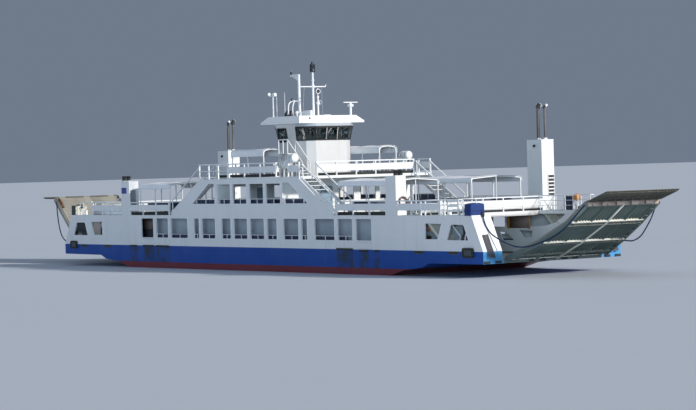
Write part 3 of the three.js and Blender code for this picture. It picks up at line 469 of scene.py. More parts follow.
def softened(corners, radius, steps=4, closed=False):
    """Each corner c becomes (1 - t)^2 a + 2 t (1 - t) c + t^2 b, with a and b radius away along its edges."""
    c = np.asarray(corners, float)
    back, on = np.roll(c, 1, 0) - c, np.roll(c, -1, 0) - c
    a = c + unit(back) * np.minimum(radius, 0.48 * np.linalg.norm(back, axis=1))[:, None]
    b = c + unit(on) * np.minimum(radius, 0.48 * np.linalg.norm(on, axis=1))[:, None]
    t = np.linspace(0, 1, steps)[None, :, None]
    curve = (1 - t) ** 2 * a[:, None] + 2 * t * (1 - t) * c[:, None] + t ** 2 * b[:, None]
    if closed:
        return curve.reshape(-1, 3)
    return np.vstack([c[:1], curve[1:-1].reshape(-1, 3), c[-1:]])


def blocks(lows, highs):
    """Boxes between opposite corners: corner = low + (high - low) * (0 or 1) on each axis, all at once."""
    lows, highs = (np.asarray(v, float).reshape(-1, 3) for v in (lows, highs))
    lows, highs = np.minimum(lows, highs), np.maximum(lows, highs)
    unit_cube = np.array([(0, 0, 0), (1, 0, 0), (1, 1, 0), (0, 1, 0), (0, 0, 1), (1, 0, 1), (1, 1, 1),
                          (0, 1, 1)])
    faces = np.array([(0, 3, 2, 1), (4, 5, 6, 7), (0, 1, 5, 4), (1, 2, 6, 5), (2, 3, 7, 6), (3, 0, 4, 7)])
    points = lows[:, None] + (highs - lows)[:, None] * unit_cube
    return points.reshape(-1, 3), [(faces[None] + 8 * np.arange(len(lows))[:, None, None]).reshape(-1, 4)]


def ring_xz(x0, x1, z0, z1, y, radius, steps=4):
    """Closed path round a rectangle in an upright plane along the ship, with rounded corners."""
    return softened([(x0, y, z0), (x1, y, z0), (x1, y, z1), (x0, y, z1)], radius, steps, closed=True)


# half width of the ship over its side plates
BEAM = 3.0
# x0, x1, z0, z1 of the framed fenders, then of the rubbing strips, on the near side
FENDERS = [(12.552, 13.033, 0.697, 0.952), (-12.989, -12.556, 0.724, 0.965)]
STRIPS = [(-8.355, -7.909, 0.825, 0.880), (-7.378, -6.643, 0.825, 0.880), (-6.453, -5.548, 0.815, 0.885),
          (5.482, 6.423, 0.840, 0.905), (6.831, 7.291, 0.790, 0.850), (7.696, 7.921, 0.796, 0.862)]
STRIP_PROFILE = np.array([(-0.5, -0.5), (0.25, -0.5), (0.5, -0.2), (0.5, 0.2), (0.25, 0.5), (-0.5, 0.5)])
# small scuppers in the side, closed by a pad: x of the inner end
SCUPPERS = (11.75, -11.75, 9.9, -9.9)
for side_name, side in SIDES:
    surfaces = []
    for x0, x1, z0, z1 in FENDERS:
        frame_ring = ring_xz(x0, x1, z0, z1, side * (BEAM + 0.035), 0.05)
        surfaces += [flats(frame_ring, 0.07, 0.075, ACROSS, closed=True),
                     (*blocks((x0 + 0.03, side * BEAM, z0 + 0.03),
                              (x1 - 0.03, side * (BEAM + 0.045), z1 - 0.03)), 1)]
    for x0, x1, z0, z1 in STRIPS:
        surfaces.append(carried([(x, side * (BEAM + 0.022), (z0 + z1) / 2) for x in (x0, x1)],
                                STRIP_PROFILE * (-side * 0.045, z1 - z0), UP))
    for x in SCUPPERS:
        end = math.copysign(1, x)
        rim = ring_xz(x, x + end * 0.5, 0.775, 0.85, side * (BEAM + 0.006), 0.037, 6)
        surfaces += [(*tubes(rim, 0.016, 8, ACROSS, closed=True), 1),
                     blocks((x + 0.01, side * BEAM, 0.785), (x + end * 0.49, side * (BEAM + 0.004), 0.84))]
    piece(f"fenders_{side_name}", "ship", [rubber, worn_steel], surfaces, smooth=35)
# blocks along the platform ends, with gaps at the middle and near y 1.7
y = np.linspace(-2.85, 2.85, 13)
y = y[(np.abs(np.abs(y) - 1.7) > 0.28) & (np.abs(y) > 0.3)]
for end_name, end in ENDS:
    made = piece(f"platform_fenders_{end_name}", "ship", [rubber],
                 [blocks(xyz(end * 13.541, y - 0.13, 0.475), xyz(end * 13.575, y + 0.13, 0.552))])
    bevel = made.modifiers.new("edge", "BEVEL")
    bevel.width, bevel.segments = 0.008, 1

# Windows of the side galleries and of the cabin
# Openings without glass, flame-cut in the side plate and edged with a welded flat-bar frame. A guard rail of
# white tube on short posts stands in the foot of each.
LOWER_WINDOWS = [(0.090, 1.005), (1.187, 1.822), (2.235, 3.183), (3.353, 3.725), (4.157, 5.375),
                 (5.550, 6.435), (6.625, 7.540)]
UPPER_WINDOWS = [(0.090, 1.010), (1.167, 2.100)]
UPPER_SLANT = [(2.220, 3.240), (2.635, 3.240), (3.770, 2.500), (3.770, 2.462), (2.220, 2.462)]
END_OPENINGS = [
    [(11.877, 1.765), (12.570, 1.760), (12.817, 1.218), (11.664, 1.218)],
    [(10.505, 1.800), (11.420, 1.785), (11.190, 1.240), (10.500, 1.240)],
]
FRAME = {"face": 0.034, "proud": 0.012, "corner": 0.07}
LOWER = {"foot": 1.165, "head": 1.940, "rail": 1.325}
UPPER = {"foot": 2.462, "head": 3.215, "rail": 2.645}
GUARD = {"radius": 0.014, "y": 2.972, "posts": np.array([0.02, 0.5, 0.98])}


def window_row(low_highs, outlines, spans, level, side):
    """Frame bars round upright openings between pairs of x and round other outlines, then a rail over each
    span with a post at both of its ends and in its middle; all of it also mirrored in x."""
    boxes = [[(low, level["foot"]), (high, level["foot"]), (high, level["head"]), (low, level["head"])]
             for low, high in low_highs]
    surfaces = []
    for mirror in (-1, 1):
        for outline in boxes + outlines:
            path = [(mirror * x, side * (BEAM + FRAME["proud"] / 2), z) for x, z in outline]
            surfaces.append(flats(softened(path, FRAME["corner"], 4, closed=True), FRAME["face"],
                                  FRAME["proud"], ACROSS, closed=True))
        low, high = mirror * np.array(spans, float).T
        x = (low[:, None] + (high - low)[:, None] * GUARD["posts"]).ravel()
        y = side * GUARD["y"]
        surfaces += [tubes(np.stack([xyz(at, y, level["rail"]) for at in (low, high)], 1), GUARD["radius"]),
                     tubes(np.stack([xyz(x, y, z) for z in (level["foot"], level["rail"])], 1),
                           GUARD["radius"])]
    return surfaces


for side_name, side in SIDES:
    spans = [(low, high) for low, high in LOWER_WINDOWS if side > 0 or low < 6.6]
    piece(f"gallery_window_frames_{side_name}", "ship", [white_paint],
          window_row(LOWER_WINDOWS, END_OPENINGS, spans, LOWER, side), smooth=35)
    piece(f"cabin_window_frames_{side_name}", "ship", [white_paint],
          window_row(UPPER_WINDOWS, [UPPER_SLANT], UPPER_WINDOWS + [(2.220, 3.545)], UPPER, side), smooth=35)

# Seats
# Moulded dark blue benches on tube legs: along the inner wall of both galleries, in rows across the cabin
# and in rows under every canopy. Single ones stand with their backs to the windows, in the galleries on a
# raised step.
def moulded(add, place, _):
    """Fine grain of the mould."""
    return add("TexNoise", {"Vector": place, "Scale": 220.0, "Detail": 2.0}).outputs["Fac"]


seat_blue = textured("seat_plastic", {"Scale": 7.0, "Detail": 4.0},
                     [(0, (0.010, 0.020, 0.055)), (1, (0.030, 0.050, 0.110))], (0.25, 0.002), 0.45,
                     relief=moulded)
# the shell's section as (forward, up) from the foot of the backrest, once round
SHELL = np.array([(0.000, 0.205), (0.030, 0.190), (0.215, 0.205), (0.232, 0.218), (0.226, 0.226),
                  (0.200, 0.222), (0.045, 0.212), (0.022, 0.228), (-0.012, 0.440), (-0.022, 0.452),
                  (-0.034, 0.446), (-0.010, 0.225)])
LEG = {"inset": 0.12, "ahead": 0.10, "height": 0.200, "radius": 0.013, "foot": (-0.07, 0.09)}


def bench_rows(starts, span, facing, base):
    """Seat shells carried from each start over span at the level base, then legs and their feet in the second
    finish; facing is the flat direction that a sitter looks in."""
    flat, span = np.asarray(facing, float), np.asarray(span, float)
    starts = starts + np.array((0, 0, base))
    shell = SHELL if np.cross(UP, span) @ flat > 0 else (SHELL * (-1, 1))[::-1]
    inset = unit(span) * LEG["inset"]
    feet = np.concatenate([starts + inset, starts + span - inset, starts + span / 2]) + flat * LEG["ahead"]
    back, front = (feet + flat * reach + (0, 0, 0.012) for reach in LEG["foot"])
    return [carried(np.stack([starts, starts + span], 1), shell, UP),
            (*tubes(np.stack([feet, feet + (0, 0, LEG["height"])], 1), LEG["radius"], 6), 1),
            (*flats(np.stack([back, front], 1), 0.03, 0.024), 1)]


# rows of single seats: x where each begins, length of each, distance of the back from the centreline, 1
# where it faces outwards or -1 where it faces inwards, and the floor
WALL_ROWS = [
    (np.array([-11.4, -9.3, -7.9, -5.9, -3.9, -1.9, 0.1, 2.1, 4.1, 6.1, 8.0, 9.5]), 1.75, 2.29, 1, 0.600),
    (np.arange(-6.45, 6.0, 0.50), 0.45, 2.90, -1, 0.900),
    (np.array([-3.62, -3.17, -2.72, *np.arange(-1.96, 1.6, 0.45), 2.30, 2.75, 3.20]), 0.41, 2.90, -1, 2.180),
]
for side_name, side in SIDES:
    surfaces = []
    for x, long, out, way, level in WALL_ROWS:
        surfaces += bench_rows(xyz(x, side * out, 0), (long, 0, 0), (0, side * way, 0), level)
    # the raised step under the seats at the gallery windows
    surfaces.append((*blocks((-6.55, side * 2.945, 0.602), (6.55, side * 2.58, 0.900)), 1))
    piece(f"gallery_benches_{side_name}", "ship", [seat_blue, white_paint], surfaces, smooth=40)
surfaces = []
for y in (-2.55, 0.45):
    for direction in (-1, 1):
        at = direction * np.array([0.40, 0.85, 1.30, 1.75])[::direction]
        surfaces += bench_rows(xyz(at - direction * 0.1, y, 0), (0, 2.10, 0), (direction, 0, 0), 2.110)
piece("cabin_benches", "ship", [seat_blue, white_paint], surfaces, smooth=40)
# canopy: x of the first and last row, y where the rows begin and end, the way they face, deck
CANOPY_SEATS = {
    "near_left": (-7.80, -5.98, -2.52, -0.95, -1, 2.050), "near_right": (5.72, 8.20, -2.46, -0.86, 1, 2.050),
    "far_left": (-8.30, -5.70, 0.90, 2.68, -1, 2.050), "far_right": (5.70, 8.30, 0.90, 2.68, 1, 2.050),
    "top_left": (-2.16, -0.42, -1.96, -1.46, -1, 3.400), "top_right": (0.42, 2.22, 1.46, 1.96, 1, 3.400),
}
for place_name, (first, last, y0, y1, facing, deck) in CANOPY_SEATS.items():
    at = np.linspace(first, last, int((last - first) / 0.44) + 1)
    piece(f"benches_{place_name}", "ship", [seat_blue, white_paint],
          bench_rows(xyz(at, y0, 0), (0, y1 - y0, 0), (facing, 0, 0), deck), smooth=40)

# Car deck
# Plain steel plate, painted dark grey-green and polished by tyres along the lanes, with flat-bar lashing
# rails. The passenger deck above it is carried on frames, with cable trays and strip lamps under them.
def car_deck_paint(add):
    """Dark paint rubbed paler in two lanes: share = smooth bands along y, broken by noise."""
    place = add("TexCoord").outputs["Object"]
    lanes = add("TexWave", {"Vector": place, "Scale": 0.42, "Distortion": 0.6, "Detail": 2.0},
                bands_direction="Y")
    return mixed(add, lanes.outputs["Fac"], (0.075, 0.095, 0.09, 1), (0.15, 0.165, 0.155, 1))


dress(weathered("car_deck_paint", car_deck_paint, stain=(0.10, 0.07, 0.05, 1), runs=0.0, patches=0.6,
                roughness=0.6), "car_deck")
LASHING = {"y": np.array([-1.9, -0.65, 0.65, 1.9]), "x": -13.2, "size": (26.4, 0.06, 0.008), "deck": 0.600}
lows = xyz(LASHING["x"], LASHING["y"] - 0.03, LASHING["deck"])
x, y = (v.ravel() for v in np.meshgrid(np.arange(-12.6, 12.7, 0.9), LASHING["y"]))
rings = xyz(x, y, LASHING["deck"] + 0.009)
piece("lashing_rails", "ship", [worn_steel],
      [blocks(lows, lows + LASHING["size"]), flats(np.stack([rings, rings + (0.1, 0, 0)], 1), 0.10, 0.012)])
# frames across, two cable trays along and lamps on both sides of the trays: low corners and sizes
x = np.arange(-9.9, 10.0, 2.4)
surfaces = []
for lows, size in ((xyz(np.arange(-10.2, 10.3, 0.6) - 0.008, -2.19, 1.925), (0.016, 4.38, 0.085)),
                   (xyz(-10.25, np.array([-1.15, 1.10]), 1.90), (20.5, 0.05, 0.02)),
                   (xyz(np.tile(x, 2), np.repeat([-1.14, 1.02], len(x)), 1.86), (0.6, 0.12, 0.04))):
    surfaces.append(blocks(lows, lows + size))
piece("deckhead_frames", "ship", [white_paint], surfaces)

# Ramps
# A welded steel plate with two kinks, grey-green below: cream cross webs with notches where the long
# stiffeners pass, and the flat-bar stiffeners side by side. Cars drive on the sandy, worn side with its
# tread bars.
HINGE = {"x": 13.6, "z": 0.603}
# which way each ramp points along x, and its extra tilt in degrees
RAMP_TURN = {"right": (1, 0.0), "left": (-1, 4.9)}
# at the hinge, at both kinks and at the lip: dx and dz from the hinge, half width and slope
RAMP_SECTIONS = np.array([(0.048, 0.020, 2.152, 0.400), (1.254, 0.534, 1.851, 0.445),
                          (2.436, 1.150, 1.626, 0.545), (3.385, 1.809, 1.555, 0.607)])


def about_hinge(end_name, dx, dz):
    """x and z of a place dx and dz from the hinge, after the ramp's own tilt."""
    end, tilt = RAMP_TURN[end_name]
    c, s = math.cos(math.radians(tilt)), math.sin(math.radians(tilt))
    return end * (HINGE["x"] + dx * c - dz * s), HINGE["z"] + dx * s + dz * c


def on_ramp(end_name, share, across_share, lift):
    """Point of a ramp: the section line at share (0 to 3), lifted square to the plate, then turned about the
    hinge by the ramp's tilt; across_share times the half width there gives y."""
    dx, dz, half, slope = (np.interp(share, np.arange(4), RAMP_SECTIONS[:, k]) for k in range(4))
    x, z = about_hinge(end_name, dx - np.sin(slope) * lift, dz + np.cos(slope) * lift)
    return xyz(x, half * across_share, z)


def ramp_paint(add):
    """Grey-green below; sandy, worn paint on the roadway side, which faces up in the object's own frame."""
    coordinates = add("TexCoord")
    faces = add("SeparateXYZ", {"Vector": coordinates.outputs["Normal"]})
    up = add("MapRange", {"Value": faces.outputs["Z"], "From Min": 0.3, "From Max": 0.5})
    dust = add("TexNoise", {"Vector": coordinates.outputs["Object"], "Scale": 1.4,
                            "Detail": 6.0}).outputs["Fac"]
    return mixed(add, up.outputs["Result"],
                 mixed(add, dust, (0.120, 0.165, 0.155, 1), (0.165, 0.210, 0.195, 1)),
                 mixed(add, dust, (0.27, 0.255, 0.215, 1), (0.38, 0.36, 0.31, 1)))


ramp_finish = weathered("ramp_paint", ramp_paint, stain=(0.16, 0.10, 0.06, 1), runs=0.3, patches=0.35,
                        roughness=0.6)
cream = weathered("cream_web_paint", (0.80, 0.78, 0.70), runs=0.35, patches=0.3, roughness=0.55)
edge_tan = weathered("edge_tan", (0.46, 0.44, 0.37), runs=0.4, patches=0.4, roughness=0.6)
hook_brown = weathered("hook_brown", (0.15, 0.065, 0.025), runs=0.5, patches=0.6, roughness=0.6)
tread_steel = weathered("tread_steel", (0.36, 0.34, 0.30), runs=0.2, patches=0.6, roughness=0.5)
# cross webs: where along the ramp, lift of the foot and of the top, gap at a stiffener, share cut off each
# corner
WEB = {"shares": (1.15, 2.17), "foot": -0.142, "top": -0.03, "gap": 0.012, "nick": 0.3,
       "faces": (0.0145, 0.0185)}
STATIONS = np.arange(4.0)
BOTH = np.array([[-1.0], [1.0]])
LUGS = np.array([0.55, 0.85, 1.25, 1.55, 1.85, 2.30, 2.62])
for end_name, (end, tilt) in RAMP_TURN.items():
    body = f"ramp_{end_name}"
    dress(ramp_finish, body)
    lanes = np.linspace(-0.97, 0.97, 27)
    edge_finish = 2 if end < 0 else 0
    surfaces = [flats(on_ramp(end_name, STATIONS, lanes[:, None], -0.048), 0.010, 0.070, UP),
                (*flats(on_ramp(end_name, STATIONS, 1.006 * BOTH, -0.045), 0.016, 0.190, UP), edge_finish),
                (*flats(on_ramp(end_name, STATIONS, 0.0, -0.110), 0.030, 0.060, UP), 1),
                (*flats(on_ramp(end_name, 0.06, 0.985 * BOTH[:, 0], -0.075), 0.030, 0.030, UP), 1)]
    lugs = np.stack([on_ramp(end_name, LUGS, 0.93, -0.07), on_ramp(end_name, LUGS + 0.09, 0.93, -0.13)], 1)
    surfaces.append((*flats(lugs, 0.16, 0.05), 3))
    for share in WEB["shares"]:
        low, high = lanes[:-1] + WEB["gap"], lanes[1:] - WEB["gap"]
        nick = (high - low) * WEB["nick"]
        outline = [on_ramp(end_name, share, lane, WEB["foot"]) for lane in (low, high)]
        outline += [on_ramp(end_name, share, lane, WEB["top"]) for lane in (high - nick, low + nick)]
        front = np.stack(outline, 1)
        slope = np.interp(share, STATIONS, RAMP_SECTIONS[:, 3]) + math.radians(tilt)
        along = np.array((end * math.cos(slope), 0, math.sin(slope)))
        thick = np.stack([front + along * face for face in WEB["faces"]], 1)
        number = np.arange(thick.size // 3).reshape(-1, 2, 4)
        a, b = number[:, 0, ::end], number[:, 1, ::end]
        walls = np.stack([a, np.roll(a, -1, 1), np.roll(b, -1, 1), b], -1).reshape(-1, 4)
        surfaces.append((thick.reshape(-1, 3), [a[:, ::-1], b, walls], 1))
        ledge = on_ramp(end_name, share, 0.972 * BOTH[:, 0], -0.118) + along * 0.011
        surfaces.append((*flats(ledge, 0.008, 0.062, UP), 1))
    piece(f"ramp_stiffeners_{end_name}", body, [ramp_finish, cream, edge_tan, worn_steel],
          surfaces)
    share = np.linspace(0.25, 2.95, 34)
    treads = np.concatenate([np.stack([on_ramp(end_name, share, lane, 0.024) for lane in lane_pair], 1)
                             for lane_pair in ((-0.9, -0.1), (0.1, 0.9))])
    piece(f"ramp_treads_{end_name}", body, [tread_steel, ramp_finish],
          [flats(treads, 0.022, 0.014, UP),
           (*flats(on_ramp(end_name, STATIONS, 0.985 * BOTH, 0.045), 0.03, 0.06, UP), 1)])
    hooks = on_ramp(end_name, np.array([2.42, 2.60, 2.90]), 0.93 * BOTH, 0.070)
    tips = on_ramp(end_name, np.array([2.55, 2.62]), 0.93 * BOTH, np.array([0.06, 0.16]))
    piece(f"rope_hooks_{end_name}", body, [hook_brown],
          [flats(hooks, 0.090, 0.080), flats(tips, 0.05, 0.05)])

# Flaps
# The hinged lip of each ramp: a dark steel plate with flat-bar ribs below and rods welded across its top.
# Tan plates on the ramp cover the hinge.
COVERS = {"share": 2.985, "y": np.linspace(-1.53, 0.99, 5), "long": 0.54, "lift": -0.062,
          "size": (0.03, 0.120)}
# where the pins lie from the ramp's own hinge, the rise of each flap in degrees and places of the webs
FLAP = {"lip": (3.4392, 1.8466), "turn": {"right": 17.9, "left": 0.0}, "webs": np.array([0.30, 0.62, 0.90])}


def on_flap(end_name, distance, y, lift):
    """Point of a flap at a distance from its pins and a height over its plate."""
    x, z = about_hinge(end_name, *FLAP["lip"])
    turn = math.radians(FLAP["turn"][end_name])
    return xyz(x + RAMP_TURN[end_name][0] * (distance * math.cos(turn) - lift * math.sin(turn)), y,
               z + distance * math.sin(turn) + lift * math.cos(turn))


def flap_paint(add):
    """Dark green-grey with rubbed streaks along the flap."""
    place = add("TexCoord").outputs["Object"]
    rubbed = add("TexNoise", {"Vector": place, "Scale": 3.0, "Detail": 8.0, "Roughness": 0.7})
    return mixed(add, rubbed.outputs["Fac"], (0.075, 0.075, 0.060, 1), (0.165, 0.160, 0.125, 1))


flap_finish = weathered("flap_paint", flap_paint, stain=(0.20, 0.12, 0.06, 1), runs=0.3, patches=0.3,
                        roughness=0.6)
hinge_tan = weathered("hinge_tan", (0.66, 0.50, 0.42), runs=0.3, patches=0.3, roughness=0.6)
for end_name in RAMP_TURN:
    body = f"flap_{end_name}"
    dress(flap_finish, body)
    rods = np.stack([on_flap(end_name, np.linspace(0.09, 0.95, 12), y, 0.018) for y in (-1.50, 1.50)], 1)
    y = np.linspace(-1.52, 1.52, 25)
    ribs = np.stack([on_flap(end_name, 0.06, y, -0.034), on_flap(end_name, 0.94, y, -0.028)], 1)
    webs = np.stack([on_flap(end_name, FLAP["webs"], y, -0.030) for y in (-1.53, 1.53)], 1)
    piece(f"flap_ribs_{end_name}", body, [flap_finish, tread_steel],
          [(*flats(rods, 0.018, 0.010), 1), flats(ribs, 0.008, 0.044), flats(webs, 0.010, 0.040)])
    plates = np.stack([on_ramp(end_name, COVERS["share"], (COVERS["y"] + step) / RAMP_SECTIONS[3, 2],
                               COVERS["lift"]) for step in (0, COVERS["long"])], 1)
    piece(f"flap_hinge_covers_{end_name}", f"ramp_{end_name}", [hinge_tan],
          [flats(plates, *COVERS["size"])])

# Canopies
# White coated cloth laced over bent-tube hoops, one length over each block of seats. The cloth is pulled
# tight over the crown, sags a little between the hoops and has a short turned-down edge.
def woven(add, place, _):
    """The higher of two sets of fine waves, warp and weft."""
    warp, weft = (add("TexWave", {"Vector": place, "Scale": 160.0}, bands_direction=way).outputs["Fac"]
                  for way in "XY")
    return reckoned(add, "MAXIMUM", warp, weft)


canopy_cloth = textured("canopy_cloth", {"Scale": 1.3, "Detail": 6.0, "Roughness": 0.6},
                        [(0.30, (0.84, 0.86, 0.91)), (0.62, (0.93, 0.94, 0.97))], (0.3, 0.002), 0.55,
                        relief=woven)
CLOTH = {"thickness": 0.006, "sag": 0.020, "set_out": 0.012, "ripple": 0.004}
HOOP = {"radius": 0.023, "post": 0.019, "purlin": 0.012}
# levels of a canopy: deck, hem of the skirt, shoulder, crown, reach of the shoulder's bend, post under the
# crown
PASSENGER_SHEET = (2.0503, 3.050, 3.226, 3.300, 0.070, True)
TOP_SHEET = (3.4003, 4.200, 4.447, 4.493, 0.160, False)
# node, x of both ends, y of both edges, x of the hoops, levels
CANOPIES = [
    ("canopy_near_left", (-8.035, -5.775), (-2.742, -0.745), (-7.995, -6.905, -5.815), PASSENGER_SHEET),
    ("canopy_near_right", (5.190, 8.375), (-2.660, -0.660), (5.480, 6.908, 8.335), PASSENGER_SHEET),
    ("canopy_far_left", (-8.540, -5.440), (0.657, 2.937), (-8.500, -6.990, -5.480), PASSENGER_SHEET),
    ("canopy_far_right", (5.440, 8.540), (0.657, 2.937), (5.480, 6.990, 8.500), PASSENGER_SHEET),
    ("top_canopy_left", (-2.360, -0.200), (-2.120, -1.300), (-2.320, -1.280, -0.240), TOP_SHEET),
    ("top_canopy_right", (0.200, 2.400), (1.300, 2.120), (0.240, 1.300, 2.360), TOP_SHEET),
]


def canopy_section(y0, y1, foot, shoulder, crown, bend, out):
    """Section across a canopy from the near foot over the crown to the far foot: y and z, set out by out."""
    middle = (y0 + y1) / 2
    return softened([(0, y0 - out, foot), (0, y0 - out, shoulder + out), (0, middle, crown + out),
                     (0, y1 + out, shoulder + out), (0, y1 + out, foot)], bend, 8)[:, 1:]


for node_name, (x0, x1), (y0, y1), hoops, (deck, hem, shoulder, crown, bend, has_post) in CANOPIES:
    section = canopy_section(y0, y1, hem, shoulder, crown, bend, CLOTH["set_out"])
    run = np.concatenate([[0], np.cumsum(np.linalg.norm(np.diff(section, axis=0), axis=1))])
    even = np.linspace(0, run[-1], 47)
    y, z = (np.interp(even, run, section[:, k]) for k in range(2))
    x = np.linspace(x0, x1, 61)
    from_hoop = np.interp(x, hoops, [0, 1, 2])
    sag = CLOTH["sag"] * np.sin(np.pi * from_hoop) ** 2
    lying = np.clip((z - shoulder) / (crown - shoulder), 0, 1) ** 0.5
    hanging = np.clip((shoulder - z) / (shoulder - hem), 0, 1)
    ripple = CLOTH["ripple"] * np.sin(23 * x)[:, None] * hanging * np.sign(y - (y0 + y1) / 2)
    top = xyz(x[:, None], y + ripple, z - sag[:, None] * lying)
    number = np.arange(len(x) * len(y)).reshape(len(x), len(y))
    quads = np.stack([number[:-1, :-1], number[1:, :-1], number[1:, 1:], number[:-1, 1:]], -1).reshape(-1, 4)
    cloth = piece(f"{node_name}_cloth", "ship", [canopy_cloth], [(top.reshape(-1, 3), [quads])],
                  smooth=60)
    wall = cloth.modifiers.new("thickness", "SOLIDIFY")
    wall.thickness, wall.offset = CLOTH["thickness"], 0
    bends = canopy_section(y0, y1, deck, shoulder, crown, bend, -HOOP["radius"] - 0.004)
    surfaces = [tubes(xyz(np.array(hoops)[:, None], *bends.T), HOOP["radius"], 10, ALONG)]
    middle = (y0 + y1) / 2
    if has_post:
        surfaces.append(tubes([[(at, middle, deck), (at, middle, crown - 0.06)] for at in hoops],
                              HOOP["post"]))
    places = np.interp([0.16, 0.33, 0.67, 0.84], np.linspace(0, 1, len(bends)), bends[:, 0])
    levels = np.interp(places, bends[1:-1, 0], bends[1:-1, 1]) - 0.010
    purlins = np.stack([xyz(at, places, levels) for at in (hoops[0], hoops[-1])], 1)
    feet_y = (y0 + 0.033, y1 - 0.033) + ((middle,) if has_post else ())
    feet = np.array([(at, foot_y) for at in hoops for foot_y in feet_y])
    surfaces += [tubes(purlins, HOOP["purlin"]),
                 blocks(xyz(*(feet.T - 0.055), deck), xyz(*(feet.T + 0.055), deck + 0.012))]
    frame_piece = piece(f"{node_name}_hoops", "ship", [white_paint], surfaces, smooth=40)
    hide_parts(node_name)

# Exhaust towers
# Plated casings for the exhaust pipes, white. The two near ones are short, with black cowls and a grey access
# panel in the end; the two far ones are tall, with a stack of louvres and two long pipes.
soot_black = textured("soot_black", {"Scale": 9.0, "Detail": 6.0},
                      [(0, (0.006, 0.007, 0.009)), (1, (0.045, 0.040, 0.036))], (0.4, 0.004), 0.6)
panel_grey = weathered("panel_grey", (0.36, 0.36, 0.39), runs=0.5, patches=0.5, roughness=0.6)
pipe_steel = weathered("exhaust_pipe_steel", (0.17, 0.15, 0.14), stain=(0.06, 0.05, 0.045, 1), runs=0.6,
                       patches=0.8, roughness=0.55)
sign_blue = weathered("sign_blue", (0.06, 0.085, 0.36), runs=0.2, patches=0.2, roughness=0.4)
dress(white_paint, *(f"exhaust_tower_{side}_{end}" for side in SIDE_NAMES for end in END_NAMES))


def turned(centre, axis, profile, sides=16):
    """Surface of revolution: rings of radius r at distance d along the axis, for each (r, d) of the profile,
    closed by a flat face at both ends."""
    axis = unit(np.asarray(axis, float))
    first = unit(np.cross(axis, UP if abs(axis[2]) < 0.9 else ALONG))
    second = np.cross(axis, first)
    a = np.arange(sides) * 2 * np.pi / sides
    r, d = np.asarray(profile, float).T
    rings = (np.asarray(centre, float) + d[:, None, None] * axis
             + r[:, None, None] * (np.cos(a)[:, None] * first + np.sin(a)[:, None] * second))
    number = np.arange(len(r) * sides).reshape(len(r), sides)
    onward = np.roll(number, -1, 1)
    quads = np.stack([number[:-1], onward[:-1], onward[1:], number[1:]], -1).reshape(-1, 4)
    return rings.reshape(-1, 3), [quads, number[:1, ::-1], number[-1:]]


